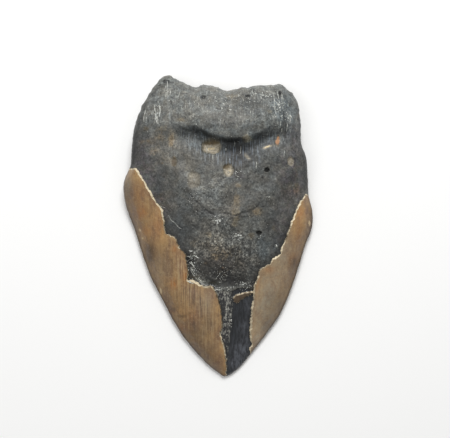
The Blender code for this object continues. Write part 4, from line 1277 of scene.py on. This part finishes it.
tree.links.new(vein, leaves[0])

veins = run_tree("mineral_veins", vein_paths(), tree, {
    "Sides": VEIN_SIDES, "Unevenness": 0.22 * MM, "Lump size": 0.9 * MM, "Vein": calcite,
})
veins.data.shade_smooth()
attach(veins, "root")


# ==== The mineral grains ==========================================================================
# Sand and crystal grains that the sea floor's water cemented to the root and the dentine, thickest
# and palest where the sparkle mask is high. The palest of them are partly painted glints. Each is a
# small rough ball, half sunk into the surface.

GRAIN_SPACING = 0.6
GRAINS_PER_SQUARE_MM = 1.7
GRAIN_HALF_WIDTH = (0.1, 0.26)
GRAIN_SEED = 7
FULL_TURNS = (6.28, 6.28, 6.28)

# Cemented grains: quartz and shell sand, from grey through cream to white, each of its own shade;
# the whitest, where the sparkle mask is high, are partly painted glints.
sand, tree, surface, place, shade, stain_and_pit_shade, patches = start_material(
    "cemented grains and glints", 0.5, 1.54, ["shade", "rust_and_pit_shade"], [(EVEN, 1.5, 2, 0.5)]
)
tint = coated(tree, colour("#5d5e5c"), [(shade, 0, 1, 1, colour("#dcdcd2"))])
stain_and_pit_shade = node(tree, "Math", stain_and_pit_shade, patches, operation="MULTIPLY")
browned = node(tree, "VectorMath", tint, (0.7, 0.5, 0.33), operation="MULTIPLY")
tint = coated(tree, tint, [(stain_and_pit_shade, 0.3, 0.5, 0.8, browned)])
finish_material(tree, surface, tint, None, [])

tree, sizes, leaves, place, sparkle = geometry_tree("cemented grains", {
    "Spacing": "Float", "Most per area": "Float", "Smallest": "Vector", "Largest": "Vector",
    "Seed": "Int", "Grain": "Material",
}, ["sparkle"])
points = node(
    tree, "GeometryNodeDistributePointsOnFaces", Mesh=sizes["Mesh"], Distance_Min=sizes["Spacing"],
    Density_Max=sizes["Most per area"], Density_Factor=sparkle, Seed=sizes["Seed"],
    distribute_method="POISSON",
)
grain = node(tree, "GeometryNodeMeshIcoSphere", Radius=1, Subdivisions=1)
turn, width = (
    node(tree, "FunctionNodeRandomValue", least, most, Seed=sizes["Seed"], data_type="FLOAT_VECTOR")
    for least, most in [((0, 0, 0), FULL_TURNS), (sizes["Smallest"], sizes["Largest"])]
)
grains = node(
    tree, "GeometryNodeInstanceOnPoints", Points=points, Instance=grain, Rotation=turn, Scale=width
)
shade = node(tree, "FunctionNodeRandomValue", 0, 1, Seed=sizes["Seed"])
palest = node(tree, "MapRange", sparkle, 0, 0.6, 0.4)
shade = node(tree, "Math", shade, palest, operation="MULTIPLY")
grains = node(
    tree, "GeometryNodeStoreNamedAttribute", Geometry=grains, Name="shade", Value=shade,
    data_type="FLOAT", domain="INSTANCE",
)
grains = node(tree, "GeometryNodeSetMaterial", Geometry=grains, Material=sizes["Grain"])
grains = node(tree, "GeometryNodeRealizeInstances", Geometry=grains)
tree.links.new(grains, leaves[0])

grains = run_tree("mineral_grains_and_glints", tooth.data.copy(), tree, {
    "Spacing": GRAIN_SPACING * MM, "Most per area": GRAINS_PER_SQUARE_MM / MM**2,
    "Smallest": (GRAIN_HALF_WIDTH[0] * MM,) * 3, "Largest": (GRAIN_HALF_WIDTH[1] * MM,) * 3,
    "Seed": GRAIN_SEED, "Grain": sand,
})
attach(grains, "root")


# ==== The studio ==================================================================================
# A plain near-white floor under a soft overhead light that leans in from the root's side, with a
# weaker one from the left. The camera looks almost straight down.

CAMERA_TILT = 86  # degrees above the horizon
CAMERA_DISTANCE = 420
CAMERA_TARGET = (3.25, 2.55, 10)
FRAME_WIDTH = 450  # pixels
FOCAL_PIXELS = 906
SENSOR = 36
FLOOR_SIZE = 3000
DAYLIGHT = 0.38

paper, tree, surface, place = start_material("matt white paper", 0.9, 1.45)
surface["Base Color"].default_value = colour("#fbfbfa")

floor_mesh = bpy.data.meshes.new("floor")
half = FLOOR_SIZE / 2 * MM
corners = [(-half, -half, 0), (half, -half, 0), (half, half, 0), (-half, half, 0)]
floor_mesh.from_pydata(corners, [], [(0, 1, 2, 3)])
floor = bpy.data.objects.new("floor", floor_mesh)
floor.data.materials.append(paper)
bpy.context.scene.collection.objects.link(floor)

world = bpy.data.worlds.new("studio")
world.use_nodes = True
sky = world.node_tree.nodes["Background"].inputs
sky["Color"].default_value = (1, 1, 1, 1)
sky["Strength"].default_value = DAYLIGHT
bpy.context.scene.world = world

# Each light: its name, its place, the width of its panel and its power in watts.
for name, spot, width, power in [
    ("key", (60, 560, 640), 380, 5.6),
    ("fill", (-420, -100, 760), 500, 1.1),
]:
    light = bpy.data.lights.new(name, "AREA")
    light.size = width * MM
    light.energy = power
    panel = bpy.data.objects.new(name, light)
    panel.location = Vector(spot) * MM
    panel.rotation_euler = (-panel.location).to_track_quat("-Z", "Y").to_euler()
    bpy.context.scene.collection.objects.link(panel)

camera = bpy.data.cameras.new("camera")
camera.sensor_width = SENSOR
camera.lens = FOCAL_PIXELS * SENSOR / FRAME_WIDTH
camera.clip_start = 0.01
view = bpy.data.objects.new("camera", camera)
tilt = math.radians(CAMERA_TILT)
back = Vector((0, -math.cos(tilt), math.sin(tilt)))
view.location = (Vector(CAMERA_TARGET) + CAMERA_DISTANCE * back) * MM
view.rotation_euler = (math.pi / 2 - tilt, 0, 0)
bpy.context.scene.collection.objects.link(view)
bpy.context.scene.camera = view
bpy.context.scene.view_settings.view_transform = "Standard"
